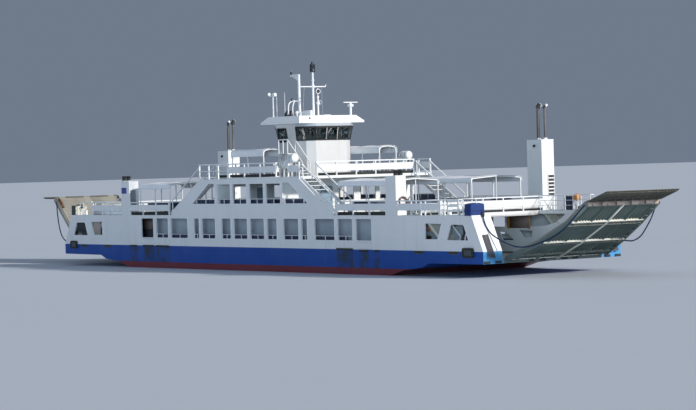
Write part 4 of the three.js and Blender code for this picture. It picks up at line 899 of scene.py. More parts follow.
NEAR_TOWER = {"inner_x": 8.390, "outer_x": 8.960, "pipe_x": 8.870, "pipe_y": (-2.912, -2.715), "top": 3.390,
              "panel": (-2.955, -2.653, 2.418, 3.040)}
FAR_TOWER = {"inner_x": 9.450, "outer_x": 10.230, "top": 4.500, "louvre": (2.700, 2.985, 2.526, 3.280),
             "rows": 7}
for end_name, end in ENDS:
    surfaces = []
    for y in NEAR_TOWER["pipe_y"]:
        x = end * NEAR_TOWER["pipe_x"]
        surfaces.append(turned((x, y, 3.392), UP, [(0.080, 0), (0.080, 0.190), (0.066, 0.200)], 20))
        surfaces.append((*turned((x, y, 3.392), UP, [(0.100, 0), (0.100, 0.014)], 20), 1))
        elbow = smooth_route([(x, y, 3.48), (x + 0.05, y, 3.515), (x + 0.085, y, 3.565)], 4)
        surfaces.append(tubes(elbow, 0.052, 14, ACROSS))
    x0, x1 = end * (NEAR_TOWER["inner_x"] - 0.005), end * (NEAR_TOWER["outer_x"] + 0.005)
    rim = softened([(x0, -3.004, 3.375), (x1, -3.004, 3.375), (x1, -2.556, 3.375), (x0, -2.556, 3.375)], 0.02,
                   3, closed=True)
    surfaces.append((*flats(rim, 0.014, 0.030, UP, closed=True), 1))
    y0, y1, z0, z1 = NEAR_TOWER["panel"]
    back = end * (NEAR_TOWER["inner_x"] + 0.056)
    surfaces.append((*blocks((end * (NEAR_TOWER["inner_x"] + 0.059), y0 + 0.002, z0 + 0.002),
                             (back, y1 - 0.002, z1 - 0.002)), 2))
    rows = np.linspace(z0 + 0.06, z1 - 0.06, 11)
    slats = np.stack([xyz(back - end * 0.008, at, rows) for at in (y0 + 0.02, y1 - 0.02)], 1)
    surfaces.append((*flats(slats, 0.018, 0.012), 2))
    face = end * (NEAR_TOWER["inner_x"] - 0.004)
    ring = softened([(face, y0, z0), (face, y1, z0), (face, y1, z1), (face, y0, z1)], 0.02, 3, closed=True)
    surfaces.append((*flats(ring, 0.022, 0.014, ALONG, closed=True), 1))
    piece(f"tower_fittings_near_{end_name}", "ship", [soot_black, white_paint, panel_grey],
          surfaces, smooth=35)
    face = end * FAR_TOWER["outer_x"]
    y0, y1, z0, z1 = FAR_TOWER["louvre"]
    surfaces = [blocks((face, y0, z0), (face + end * 0.003, y1, z1))]
    rows = np.linspace(z0, z1, FAR_TOWER["rows"])
    out = face + end * 0.012
    slats = np.stack([xyz(out, at, rows) for at in (y0, y1)], 1)
    surfaces.append((*flats(slats, 0.018, 0.042), 1))
    sides = np.array([[(out, at, z0), (out, at, z1)] for at in (y0, y1)])
    surfaces.append((*flats(sides, 0.020, 0.018, ALONG), 1))
    x0, x1 = end * (FAR_TOWER["inner_x"] - 0.004), end * (FAR_TOWER["outer_x"] + 0.004)
    rim = softened([(x0, 2.446, 4.485), (x1, 2.446, 4.485), (x1, 3.004, 4.485), (x0, 3.004, 4.485)], 0.02, 3,
                   closed=True)
    surfaces.append((*flats(rim, 0.014, 0.034, UP, closed=True), 1))
    # exhaust pipes: the first ends in a large slanted cowl, the second in a small bent cap
    for x, head, cowl in ((9.640, 0.078, 0.17), (9.990, 0.050, 0.09)):
        collar = [(0.085, 0), (0.085, 0.02), (0.055, 0.06)]
        surfaces.append((*turned((end * x, 2.840, 4.502), UP, collar, 18), 1))
        surfaces.append((*turned((end * x, 2.840, 4.50), UP, [(0.041, 0), (0.041, 1.12)], 18), 2))
        surfaces.append((*turned((end * x, 2.840, 5.28), UP, [(0.050, 0), (0.050, 0.03)], 18), 2))
        surfaces.append(turned((end * (x - 0.012), 2.816, 5.600), (end * 0.35, 0.75, 1.15),
                               [(0.044, -0.02), (head, 0.02), (head, cowl), (head * 0.7, cowl + 0.012)], 18))
    for x, top in ((9.720, 5.55), (9.860, 5.42)):
        surfaces.append(turned((end * x, 2.70, 4.50), UP, [(0.012, 0), (0.006, top - 4.50)], 8))
    for row in np.arange(2.30, 4.4, 0.24):
        rung = softened([(x0, 2.62, row), (x0 - end * 0.056, 2.62, row), (x0 - end * 0.056, 2.83, row),
                         (x0, 2.83, row)], 0.02, 3)
        surfaces.append((*tubes(rung, 0.010, 6, UP), 1))
    lamp = (end * (FAR_TOWER["outer_x"] - 0.35), 2.448, 4.30)
    surfaces.append(turned(lamp, (0, -1, -0.4), [(0.030, 0), (0.045, 0.03), (0.045, 0.07), (0.02, 0.08)], 12))
    piece(f"tower_fittings_far_{end_name}", "ship", [soot_black, white_paint, pipe_steel],
          surfaces, smooth=35)
piece("tower_sign_blank", "ship", [sign_blue],
      [blocks((-8.950, -3.006, 2.900), (-8.585, -3.0, 3.130))])

# Lifebuoys
# Cork rings covered in dark red cloth, each with four grey bands and a grab line. One hangs on the end face
# of each near tower.
buoy_red = weathered("lifebuoy_red", (0.16, 0.035, 0.030), runs=0.3, patches=0.5, roughness=0.6)
buoy_band = weathered("lifebuoy_band", (0.24, 0.20, 0.19), runs=0.3, patches=0.4, roughness=0.6)
buoy_orange = weathered("buoy_orange", (0.66, 0.24, 0.02), runs=0.2, patches=0.4, roughness=0.5)
BUOY = {"ring": 0.158, "body": 0.026, "band": 0.029}


def lifebuoy(centre, normal):
    """Ring of the buoy, four wider bands on it and a line round it that bows out between the bands."""
    normal = unit(np.asarray(normal, float))
    first = np.array((0.0, 0.0, 1.0))
    second = np.cross(normal, first)
    a = np.arange(40) * 2 * np.pi / 40

    def around(angles, radius):
        return centre + radius[:, None] * (np.cos(angles)[:, None] * first + np.sin(angles)[:, None] * second)

    ring = tubes(around(a, np.full(40, BUOY["ring"])), BUOY["body"], 14, normal, closed=True)
    surfaces = [(*ring, 0)]
    for quarter in range(4):
        part = np.linspace(-0.16, 0.16, 5) + quarter * np.pi / 2 + np.pi / 4
        surfaces.append((*tubes(around(part, np.full(5, BUOY["ring"])), BUOY["band"], 14, normal), 1))
    bow = BUOY["ring"] + BUOY["body"] + 0.004 + 0.012 * np.abs(np.sin(2 * (a - np.pi / 4)))
    surfaces.append((*tubes(around(a, bow), 0.005, 6, normal, closed=True), 1))
    return surfaces


surfaces = []
for centre, normal in (((9.004, -2.728, 2.500), (1, 0, 0)), ((-9.004, -2.728, 2.500), (-1, 0, 0))):
    surfaces += lifebuoy(np.array(centre), normal)
piece("lifebuoys", "ship", [buoy_red, buoy_band], surfaces, smooth=50)

# Rails and bitts on the casing tops
# Guard rails of white steel tube, welded along both edges of each casing beyond the deck, and a pair of
# white bitts on a plate near the outer edge.
RAIL_TOP, RAIL_FOOT = 2.560, 2.050
BITT = [(0.055, 0), (0.055, 0.17), (0.075, 0.175), (0.075, 0.195), (0.04, 0.205)]


def rail_run(points, foot, top, bars=2, spacing=0.75, tube_radius=0.014):
    """Guard rail along a level line: a top tube, lower bars at even heights, posts about spacing apart."""
    points = np.asarray(points, float)
    heights = top - (top - foot) * np.arange(bars + 1) / (bars + 1)
    lines = np.stack([xyz(*points.T, height) for height in heights])
    legs = np.linalg.norm(np.diff(points, axis=0), axis=1)
    reach = np.concatenate([[0], np.cumsum(legs)])
    at = np.linspace(0, reach[-1], max(2, int(round(reach[-1] / spacing)) + 1))
    spots = [np.interp(at, reach, points[:, k]) for k in range(2)]
    posts = np.stack([xyz(*spots, foot), xyz(*spots, top)], 1)
    return [tubes(lines[:1], tube_radius * 1.25), tubes(lines[1:], tube_radius * 0.75, 6),
            tubes(posts, tube_radius)]


for side_name, side in SIDES:
    for end_name, end in ENDS:
        outer = [(end * (11.34 if side < 0 else 10.33), side * 2.965), (end * 12.30, side * 2.965)]
        inner = [(end * 10.33, side * 2.235), (end * 12.30, side * 2.235)]
        surfaces = rail_run(outer, RAIL_FOOT, RAIL_TOP) + rail_run(inner, RAIL_FOOT, RAIL_TOP)
        corner = [(end * 12.30, side * 2.965), (end * 12.30, side * 2.80)]
        surfaces += rail_run(corner, RAIL_FOOT, RAIL_TOP, 2, 0.5)
        for x in (11.62, 12.10):
            surfaces.append(turned((end * x, side * 2.80, 2.05), UP, BITT, 14))
        surfaces.append(blocks((end * 11.50, side * 2.70, 2.05), (end * 12.22, side * 2.90, 2.065)))
        piece(f"casing_rails_{side_name}_{end_name}", "ship", [white_paint], surfaces,
              smooth=40)

# Hoists, winches and stores on the casing tops
# Painted steel boxes and drums bolted to the casing tops: the near right hoist under a blue cloth cover, a
# rack of broad flat bars, a dark blue locker and an orange mooring buoy.
grease_dark = weathered("greased_machinery", (0.05, 0.055, 0.06), runs=0.3, patches=0.6, roughness=0.45)
locker_blue = weathered("locker_blue", (0.006, 0.012, 0.060), runs=0.2, patches=0.3, roughness=0.5)
winch_cream = weathered("winch_cream", (0.62, 0.60, 0.53), runs=0.4, patches=0.4, roughness=0.55)


def creased(add, place, folds):
    """The folds, and a quarter of a fine weave over them."""
    weave = add("TexNoise", {"Vector": place, "Scale": 220.0, "Detail": 1.0}).outputs["Fac"]
    return reckoned(add, "ADD", reckoned(add, "MULTIPLY", weave, 0.25), folds)


cover_blue = textured("cover_blue", {"Scale": 9.0, "Detail": 2.0},
                      [(0, (0.001, 0.022, 0.135)), (1, (0.002, 0.042, 0.21))], (0.5, 0.012), 0.62,
                      relief=creased)
COVER = {"centre": (12.795, -2.715), "half": (0.190, 0.300), "crown": 2.450, "edge": 2.404, "hem": 2.040,
         "folds": 0.007, "thickness": 0.004}
angle = np.arange(64) * 2 * np.pi / 64
corner_shape = np.stack([np.sign(f(angle)) * np.abs(f(angle)) ** 0.30 for f in (np.cos, np.sin)], -1)
inward = np.linspace(0.08, 1, 9)
reach = np.concatenate([inward, np.full(12, 1.0)])
level = np.concatenate([COVER["crown"] - (COVER["crown"] - COVER["edge"]) * inward ** 3,
                        np.linspace(COVER["edge"] - 0.02, COVER["hem"], 12)])
drop = np.clip((COVER["edge"] - level) / (COVER["edge"] - COVER["hem"]), 0, 1)
fold = 1 + COVER["folds"] / 0.2 * np.sin(11 * angle)[None] * drop[:, None]
plan = reach[:, None, None] * fold[..., None] * corner_shape * np.array(COVER["half"])
rings = xyz(plan[..., 0] + COVER["centre"][0], plan[..., 1] + COVER["centre"][1], level[:, None])
number = np.arange(rings.shape[0] * 64).reshape(-1, 64)
onward = np.roll(number, -1, 1)
quads = np.stack([number[:-1], number[1:], onward[1:], onward[:-1]], -1).reshape(-1, 4)
cover = piece("hoist_cover", "ship", [cover_blue], [(rings.reshape(-1, 3), [quads, number[:1]])],
              smooth=70)
wall = cover.modifiers.new("thickness", "SOLIDIFY")
wall.thickness, wall.offset = COVER["thickness"], 0
tie = rings[15] + xyz(*(corner_shape.T * 0.006), 0)
piece("hoist_cover_tie", "ship", [rope_blue], [tubes(tie, 0.006, 6, UP, closed=True)], smooth=60)

# bare hoists: side plates, the drum with its flanges and turns of rope, and a motor
DRUM = {"y": 2.71, "z": 2.370, "flange": 0.105, "rope": 0.088}
BARE = (("near", -1, "left", -1), ("far", 1, "left", -1), ("far", 1, "right", 1))
for side_name, side, end_name, end in BARE:
    y0, y1 = side * 2.448, side * 2.982
    drum_y, drum_z, flange = side * DRUM["y"], DRUM["z"], [(DRUM["flange"], 0), (DRUM["flange"], 0.014)]
    a = np.arange(24) * 2 * np.pi / 24
    coils = xyz(end * np.linspace(12.694, 12.896, 9)[:, None], drum_y + DRUM["rope"] * np.cos(a),
                drum_z + DRUM["rope"] * np.sin(a))
    surfaces = [blocks([(end * 12.636, y0, 2.052), (end * 12.936, y0, 2.052)],
                       [(end * 12.660, y1, 2.420), (end * 12.954, y1, 2.420)]),
                (*turned((end * 12.672, drum_y, drum_z), (end, 0, 0), flange, 24), 1),
                (*turned((end * 12.904, drum_y, drum_z), (end, 0, 0), flange, 24), 1),
                (*tubes(coils, 0.0125, 6, ALONG, closed=True), 2),
                (*turned((end * 12.640, drum_y, drum_z), (-end, 0, 0),
                         [(0.055, 0), (0.055, 0.15), (0.040, 0.165)], 16), 1)]
    piece(f"hoist_{side_name}_{end_name}", "ship", [winch_cream, grease_dark, rope_blue],
          surfaces, smooth=40)


def prism(front, back, flip=False):
    """Plate between two outlines of as many corners: a quad at each edge and a face at both ends."""
    count = len(front)
    ring = np.arange(count)
    faces = [np.stack([ring, np.roll(ring, -1), np.roll(ring, -1) + count, ring + count], -1),
             ring[None, ::-1], ring[None] + count]
    return np.concatenate([front, back]), [face[:, ::-1] for face in faces] if flip else faces


# sheaves at the head of each casing end, where the ramp rope comes over, between two cheek plates (x and z)
SHEAVE = {"x": 13.035, "y": 2.560, "z": 2.085,
          "groove": [(0.020, 0), (0.062, 0.002), (0.046, 0.014), (0.046, 0.030), (0.062, 0.042),
                     (0.020, 0.044)]}
CHEEK = np.array([(12.960, 2.052), (13.020, 2.160), (13.075, 2.120), (13.075, 2.020), (13.030, 1.960)])
for side_name, side in SIDES:
    for end_name, end in ENDS:
        middle = side * SHEAVE["y"]
        centre = (end * SHEAVE["x"], middle + 0.022, SHEAVE["z"])
        surfaces = [(*turned(centre, (0, -1, 0), SHEAVE["groove"], 22), 1)]
        for y in (middle - 0.036, middle + 0.026):
            surfaces.append(prism(*(xyz(end * CHEEK[:, 0], y + d, CHEEK[:, 1]) for d in (0, 0.010))))
        piece(f"rope_sheave_{side_name}_{end_name}", "ship", [grease_dark, worn_steel],
              surfaces, smooth=35)

# rack of broad bars, braces and posts beside the near right hoist
surfaces = [blocks([(11.700, -2.990, 2.050), (12.250, -2.990, 2.050)],
                   [(11.760, -2.950, 2.560), (12.310, -2.950, 2.560)]),
            blocks([(11.730, -2.978, z - 0.030) for z in (2.525, 2.361, 2.196)],
                   [(12.280, -2.958, z + 0.030) for z in (2.525, 2.361, 2.196)]),
            tubes([(12.412, -2.965, 2.523), (12.630, -2.965, 2.052)], 0.024, 10),
            blocks([(at - 0.022, -2.986, 2.050) for at in (11.330, 11.544)],
                   [(at + 0.022, -2.946, 2.545) for at in (11.330, 11.544)])]
piece("rack_near_right", "ship", [white_paint], surfaces, smooth=40)
# dark side plate of the near left hoist, painted shade that darkens its near face while its end face stays
# cream, two broad posts and a folded ladder on that casing
surfaces = [(*blocks((-12.956, -2.992, 2.052), (-12.636, -2.984, 2.440)), 1),
            (*blocks([(-11.395, -2.992, 2.050), (-10.125, -2.992, 2.050)],
                     [(-11.330, -2.950, 2.600), (-10.075, -2.950, 2.580)]), 2)]
rungs = np.linspace(0.06, 0.94, 6)[:, None]
for y in (-2.94, -2.72):
    surfaces.append((*tubes([(-9.560, y, 2.56), (-9.100, y, 2.80)], 0.013), 2))
    surfaces.append((*tubes([(-9.560, y, 2.80), (-9.100, y, 2.52)], 0.013), 2))
starts = np.array([-9.560, -2.94, 2.56]) + rungs * (0.46, 0, 0.24)
surfaces.append((*tubes(np.stack([starts, starts + (0, 0.22, 0)], 1), 0.009, 6), 2))
piece("fittings_near_left", "ship", [winch_cream, grease_dark, white_paint], surfaces,
      smooth=40)
# posts, locker and mooring buoy on the far casings
for end_name, end in ENDS:
    surfaces = [blocks([(end * at - 0.020, 2.58, 2.050) for at in (11.180, 11.650)],
                       [(end * at + 0.020, 2.62, 2.540) for at in (11.180, 11.650)]),
                (*blocks((end * 11.270, 2.56, 2.052), (end * 11.580, 2.66, 2.500)), 1),
                (*blocks((end * 11.262, 2.552, 2.500), (end * 11.588, 2.668, 2.522)), 1),
                turned((end * 11.838, 2.60, 2.05), UP, [(0.012, 0), (0.012, 0.34)], 8)]
    lift = np.linspace(-np.pi / 2 + 0.15, np.pi / 2 - 0.15, 12)
    buoy = np.column_stack([0.128 * np.cos(lift), 0.128 * np.sin(lift)])
    surfaces.append((*turned((end * 11.838, 2.60, 2.480), UP, buoy, 24), 2))
    piece(f"casing_stores_far_{end_name}", "ship", [white_paint, locker_blue, buoy_orange],
          surfaces, smooth=45)

# Inside of the casings
# A cream plate stair with tube rails between the car deck and the passenger deck, seen through the slanted
# end openings, steel braces beside it, brown panels on the inner wall, and plates round the slots of the
# end walls. The dark plates in the slots and the dark sheets behind the stair and the near left openings
# are painted shade, standing in for the shaded inside of the casings.
panel_brown = weathered("panel_brown", (0.28, 0.20, 0.18), runs=0.5, patches=0.6, roughness=0.55)
panel_tan = weathered("panel_tan", (0.44, 0.38, 0.34), runs=0.4, patches=0.5, roughness=0.6)
post_orange = weathered("post_orange", (0.78, 0.34, 0.06), runs=0.4, patches=0.4, roughness=0.5)
# near black: a tank, and the plates and sheets that are painted shade inside the casings
inside_dark_and_painted_shade = weathered("inside_dark_and_painted_shade", (0.055, 0.058, 0.075), runs=0.5, patches=0.8, roughness=0.6)
SLOT = {"head_x": 12.990, "head_z": 2.010, "run": 0.4812}
# plates on the end wall: y and z of the edges, corner radius, how far out both faces lie, finish. The dark
# plate is painted shade: laid on the face over the slot, it stands for the slot's shaded inside, and a
# white plate narrows the slot.
SLOT_PLATES = [((2.560, 2.835, 0.665, 1.415), 0.05, (0.001, 0.006), 1),
               ((2.410, 2.560, 0.640, 1.440), 0, (-0.012, 0.004), 0)]
STAIR = {"foot": (11.90, 0.62), "head": (10.40, 1.96), "y": (2.90, 2.36), "rail": 0.42}
# the tan plate in the near left opening, as x and z
TAN_PLATE = np.array([(-11.75, 1.99), (-11.75, 0.95), (-11.20, 0.95), (-10.78, 1.24), (-10.78, 1.99)])


def on_end_wall(side, end, y, z, out):
    """Points of the slanted end wall at y and z, out from its face along the ship."""
    return xyz(end * (SLOT["head_x"] + (SLOT["head_z"] - z) * SLOT["run"] + out), side * y, z)


for side_name, side in SIDES:
    for end_name, end in ENDS:
        foot, head = (np.array((end * x, 0, z)) for x, z in (STAIR["foot"], STAIR["head"]))
        surfaces = []
        for y in STAIR["y"]:
            path = np.array([foot, head]) + (0, side * y, 0)
            bases = path[0] + (path[1] - path[0]) * np.array([0.10, 0.45, 0.80])[:, None]
            surfaces += [flats(path, 0.020, 0.110), tubes(path + (0, 0, STAIR["rail"]), 0.014),
                         tubes(np.stack([bases, bases + (0, 0, STAIR["rail"])], 1), 0.012)]
        treads = foot + (head - foot) * np.linspace(0.07, 0.95, 10)[:, None]
        risers = treads + (end * -0.070, 0, 0)
        surfaces += [blocks(treads + (-0.075, side * 2.37, -0.008), treads + (0.075, side * 2.89, 0.010)),
                     blocks(risers + (-0.004, side * 2.37, 0.008), risers + (0.004, side * 2.89, 0.128))]
        if end > 0:
            corner = (end * 12.24, side * 2.86, 1.34)
            braces = [[(end * 12.72, side * 2.93, 1.76), (end * 12.52, side * 2.93, 1.22)],
                      [(end * 11.80, side * 2.86, 1.72), corner], [corner, (end * 12.05, side * 2.86, 1.10)]]
            surfaces.append((*flats(braces, 0.030, 0.040), 1))
        # a dark tank under the stair, and along the inner wall a dark sheet that is painted shade
        tank = [(0.16, 0), (0.16, 0.74), (0.10, 0.80)]
        surfaces += [(*turned((end * 12.32, side * 2.72, 0.62), UP, tank, 20), 2),
                     (*blocks((end * 11.66, side * 2.30, 0.62), (end * 12.90, side * 2.245, 1.99)), 2)]
        piece(f"casing_stair_{side_name}_{end_name}", "ship",
              [winch_cream, white_paint, inside_dark_and_painted_shade], surfaces, smooth=35)
        in_near_left = side + end == -2
        surfaces = [blocks((end * (7.70 if in_near_left else 8.60), side * 2.180, 1.425),
                           (end * 9.79, side * 2.196, 1.935)),
                    (*blocks([(end * 8.655, side * 2.160, 1.40), (end * 9.775, side * 2.160, 1.40)],
                             [(end * 8.700, side * 2.190, 1.96), (end * 9.825, side * 2.190, 1.96)]), 1),
                    (*blocks((end * 11.28, side * 2.180, 1.60), (end * 11.34, side * 2.196, 1.70)), 2)]
        # in the near left casing: the tan plate with its white edge, and two dark sheets of painted shade
        # that darken the view through its openings
        if in_near_left:
            back, front = (xyz(TAN_PLATE[:, 0], y, TAN_PLATE[:, 1]) for y in (-2.929, -2.935))
            surfaces += [(*prism(front, back, flip=True), 3),
                         (*flats(front[2:4] + (0, -0.004, 0), 0.030, 0.014, ACROSS), 2),
                         (*blocks((-9.30, -2.266, 0.95), (-7.72, -2.254, 1.468)), 4),
                         (*blocks((-12.84, -2.940, 1.38), (-11.70, -2.934, 1.99)), 4)]
        piece(f"inner_panels_{side_name}_{end_name}", "ship",
              [panel_brown, post_orange, white_paint, panel_tan, inside_dark_and_painted_shade], surfaces)
        surfaces = []
        for (y0, y1, z0, z1), radius, outs, number in SLOT_PLATES:
            corners = np.array([(0, y0, z0), (0, y1, z0), (0, y1, z1), (0, y0, z1)])
            ring = softened(corners, radius, 5, closed=True) if radius else corners
            layers = (on_end_wall(side, end, ring[:, 1], ring[:, 2], out) for out in outs)
            surfaces.append((*prism(*layers, flip=end * side > 0), number))
        piece(f"slot_plates_{side_name}_{end_name}", "ship", [ship_side, inside_dark_and_painted_shade], surfaces,
              smooth=35)

# Wheelhouse
# A welded white house with a leaning band of tinted panes in black frames, wipers in front, a steering
# console and two chairs at each end inside, a gutter round the roof and a rail and box at the side windows.
BAND_CORNERS = np.array([(0.620, 1.160), (0.980, 1.000), (1.193, 0.709), (1.193, -0.709), (0.980, -1.000),
                         (0.620, -1.160), (-0.540, -1.160), (-0.860, -0.920), (-1.150, -0.650),
                         (-1.150, 0.650), (-0.860, 0.920), (-0.540, 1.160)])
LEAN = {"foot": 4.7403, "top": 5.382, "reach": 0.142, "sill": 4.772, "head": 5.214}
PANE = {"gap": 0.034, "set_out": 1.06, "side": (-0.515, 0.062), "depth": 0.014, "thickness": 0.006}
# first and last corner of each facet and how many panes it has
FACETS = [(2, 3, 3), (1, 2, 1), (3, 4, 1), (0, 1, 1), (4, 5, 1), (8, 9, 3), (9, 10, 1), (7, 8, 1),
          (10, 11, 1), (6, 7, 1)]
frame_black = weathered("frame_black", (0.010, 0.011, 0.013), runs=0.15, patches=0.3, roughness=0.5)
lining_grey = weathered("lining_grey", (0.52, 0.53, 0.52), runs=0.0, patches=0.2, roughness=0.7)
pane_glass, add, shader = new_finish("pane_glass")
place = add("TexCoord").outputs["Object"]
smears = add("TexNoise", {"Vector": place, "Scale": 3.0, "Detail": 3.0})
rough = add("MapRange", {"Value": smears.outputs["Fac"], "To Min": 0.02, "To Max": 0.07})
tint = mixed(add, smears.outputs["Fac"], (0.62, 0.72, 0.75, 1), (0.72, 0.81, 0.84, 1))
joins(tint, shader.inputs["Base Color"])
joins(rough.outputs["Result"], shader.inputs["Roughness"])
shader.inputs["Transmission Weight"].default_value = 1.0
shader.inputs["IOR"].default_value = 1.3


def band_ring(z, out=0.0):
    """Corners of the leaning band at height z, pushed out from the axis by the lean there and by out."""
    reach = np.linalg.norm(BAND_CORNERS, axis=1, keepdims=True)
    push = LEAN["reach"] * (z - LEAN["foot"]) / (LEAN["top"] - LEAN["foot"]) + out
    return np.column_stack([BAND_CORNERS * (1 + push / reach), np.full(len(BAND_CORNERS), z)])


def pane_corners(first, last, edges):
    """Corners of a pane on the facet between two band corners: sill at both edges, then head, where an edge
    is a point in plan carried square to the facet onto its face."""
    ahead = unit(BAND_CORNERS[last] - BAND_CORNERS[first])
    corners = []
    for z, order in ((LEAN["sill"], (0, 1)), (LEAN["head"], (1, 0))):
        a, b = band_ring(z)[[first, last]]
        share = [((edges[k] - a[:2]) @ ahead) / ((b - a)[:2] @ ahead) for k in order]
        corners += [a + (b - a) * part for part in share]
    return np.array(corners)


panes = [pane_corners(5, 6, [np.array((x, -1.3)) for x in PANE["side"][::-1]]),
         pane_corners(11, 0, [np.array((x, 1.3)) for x in PANE["side"]])]
for first, last, count in FACETS:
    start, finish = BAND_CORNERS[first], BAND_CORNERS[last]
    half = (np.linalg.norm(finish - start) / count - PANE["gap"]) / 2
    for k in range(count):
        centre = (start + (finish - start) * (k + 0.5) / count) * PANE["set_out"]
        ahead = unit(finish - start) * half
        panes.append(pane_corners(first, last, [centre - ahead, centre + ahead]))
panes = np.array(panes)
normals = unit(np.cross(panes[:, 1] - panes[:, 0], panes[:, 3] - panes[:, 0]))
middles = panes.mean(1, keepdims=True)
normals *= np.sign(np.sum(normals[:, :2] * middles[:, 0, :2], -1))[:, None]
wide = middles + (panes - middles) * 1.012
front, back = (wide - normals[:, None] * d for d in (PANE["depth"], PANE["depth"] + PANE["thickness"]))
slabs = np.concatenate([back, front], 1)
number = 8 * np.arange(len(panes))[:, None, None]
faces = np.array([(3, 2, 1, 0), (4, 5, 6, 7), (0, 1, 5, 4), (1, 2, 6, 5), (2, 3, 7, 6), (3, 0, 4, 7)])
turned_round = np.sum(np.cross(panes[:, 1] - panes[:, 0], panes[:, 3] - panes[:, 0]) * normals, -1) < 0
faces = np.where(turned_round[:, None, None], faces[None, :, ::-1], faces[None]) + number
piece("wheelhouse_glass", "ship", [pane_glass], [(slabs.reshape(-1, 3), [faces.reshape(-1, 4)])])
surfaces = []
for corners, normal in zip(panes, normals):
    ring = softened(corners + normal * 0.004, 0.03, 4, closed=True)
    surfaces.append(flats(ring, 0.028, 0.016, normal, closed=True))
for z, height in ((LEAN["sill"] - 0.016, 0.040), (LEAN["head"] + 0.022, 0.060)):
    ring = band_ring(z, 0.005)
    for run in (ring[:6], ring[6:]):
        surfaces.append(flats(run, 0.018, height, UP))
# a blue-grey strip between the head of the band and the roof: painted shadow of the roof's overhang
roof_shadow_strip = weathered("roof_shadow_strip", (0.46, 0.50, 0.55), runs=0.2, patches=0.3)
strip = band_ring(5.322, 0.004)
for run in (strip[:6], strip[6:]):
    surfaces.append((*flats(run, 0.012, 0.112, UP), 1))
feet, heads = band_ring(LEAN["sill"] - 0.03, 0.006), band_ring(LEAN["head"] + 0.03, 0.006)
surfaces.append(flats(np.stack([feet, heads], 1), 0.026, 0.026))
piece("wheelhouse_frames", "ship", [frame_black, roof_shadow_strip], surfaces, smooth=35)

surfaces = []
for end in (-1, 1):
    surfaces.append(blocks((end * 0.62, -0.66, 4.742), (end * 0.98, 0.60, 4.885)))
    surfaces.append(blocks((end * 0.70, -0.30, 4.885), (end * 0.86, 0.16, 4.975)))
    surfaces.append(turned((end * 0.60, 0.0, 4.93), (end * 0.9, 0, 0.4),
                           [(0.10, 0), (0.105, 0.01), (0.10, 0.02)], 20))
    for y in (-0.42, 0.30):
        surfaces.append(blocks((end * 0.22, y - 0.11, 4.80), (end * 0.44, y + 0.11, 4.86)))
        surfaces.append(blocks((end * 0.20, y - 0.10, 4.84), (end * 0.25, y + 0.10, 5.13)))
        surfaces.append(turned((end * 0.33, y, 4.742), UP, [(0.08, 0), (0.03, 0.02), (0.03, 0.06)], 12))
surfaces.append((*blocks((-0.14, -0.60, 4.742), (0.14, 0.50, 5.05)), 1))
surfaces.append((*blocks((-0.98, -0.90, 4.741), (0.98, 0.90, 4.746)), 1))
piece("wheelhouse_inside", "ship", [grease_dark, lining_grey], surfaces, smooth=35)

# gutter round the roof, a wiper and a lamp at each end, and the rail, box and lamp at the side window
surfaces = []
gutter = softened([(x, y, 5.446) for x, y in ((1.262, 1.491), (-1.262, 1.491), (-1.262, -1.491),
                                              (1.262, -1.491))], 0.03, 3, closed=True)
surfaces.append(flats(gutter, 0.016, 0.022, UP, closed=True))
pivot = np.array((1.275, -0.02, 5.225))
tip = pivot + (-0.055, -0.22, -0.30)
for flip in (1, -1):
    turn = np.array((flip, flip, 1.0))
    surfaces.append(tubes(np.array([pivot, tip]) * turn, 0.006, 6))
    blade = np.array([tip + (0.022, 0.01, 0.10), tip + (-0.018, -0.02, -0.10)]) * turn
    surfaces.append((*flats(blade, 0.008, 0.016), 1))
    surfaces.append((*turned(np.array((1.560, -1.256, 5.548)) * turn, (flip, 0, 0),
                             [(0.02, 0), (0.03, 0.02), (0.03, 0.06)], 12), 1))
surfaces.append(tubes([(0.06, -1.205, 4.812), (-0.48, -1.205, 4.812), (-0.50, -1.205, 4.70)], 0.012, 8,
                      ACROSS))
surfaces.append((*blocks((-0.455, -1.215, 4.694), (-0.075, -1.160, 4.760)), 1))
surfaces.append((*blocks((0.40, -1.245, 5.300), (0.60, -1.190, 5.352)), 1))
piece("wheelhouse_fittings", "ship", [white_paint, frame_black], surfaces, smooth=35)

# Roof equipment
# Whips, two black aerial domes, a bent-tube arch to the mast, vents, boxes and a side mast with a ball and
# a horn, all bolted to the wheelhouse roof.
lamp_black = weathered("lamp_black", (0.015, 0.018, 0.026), runs=0.1, patches=0.3, roughness=0.3)
ROOF = 5.660
lift = np.linspace(-np.pi / 2 + 0.1, np.pi / 2 - 0.1, 12)
BALL = np.column_stack([np.cos(lift), np.sin(lift)])
WHIP = [(0.022, 0), (0.022, 0.05), (0.011, 0.06)]
DOME = [(0.082, 0), (0.082, 0.05), (0.060, 0.13), (0.045, 0.19), (0.02, 0.205)]


def upright_parts(table):
    """Surfaces of revolution about upright axes, from rows of foot, profile, sides and finish."""
    return [(*turned(foot, UP, profile, sides), finish) for foot, profile, sides, finish in table]


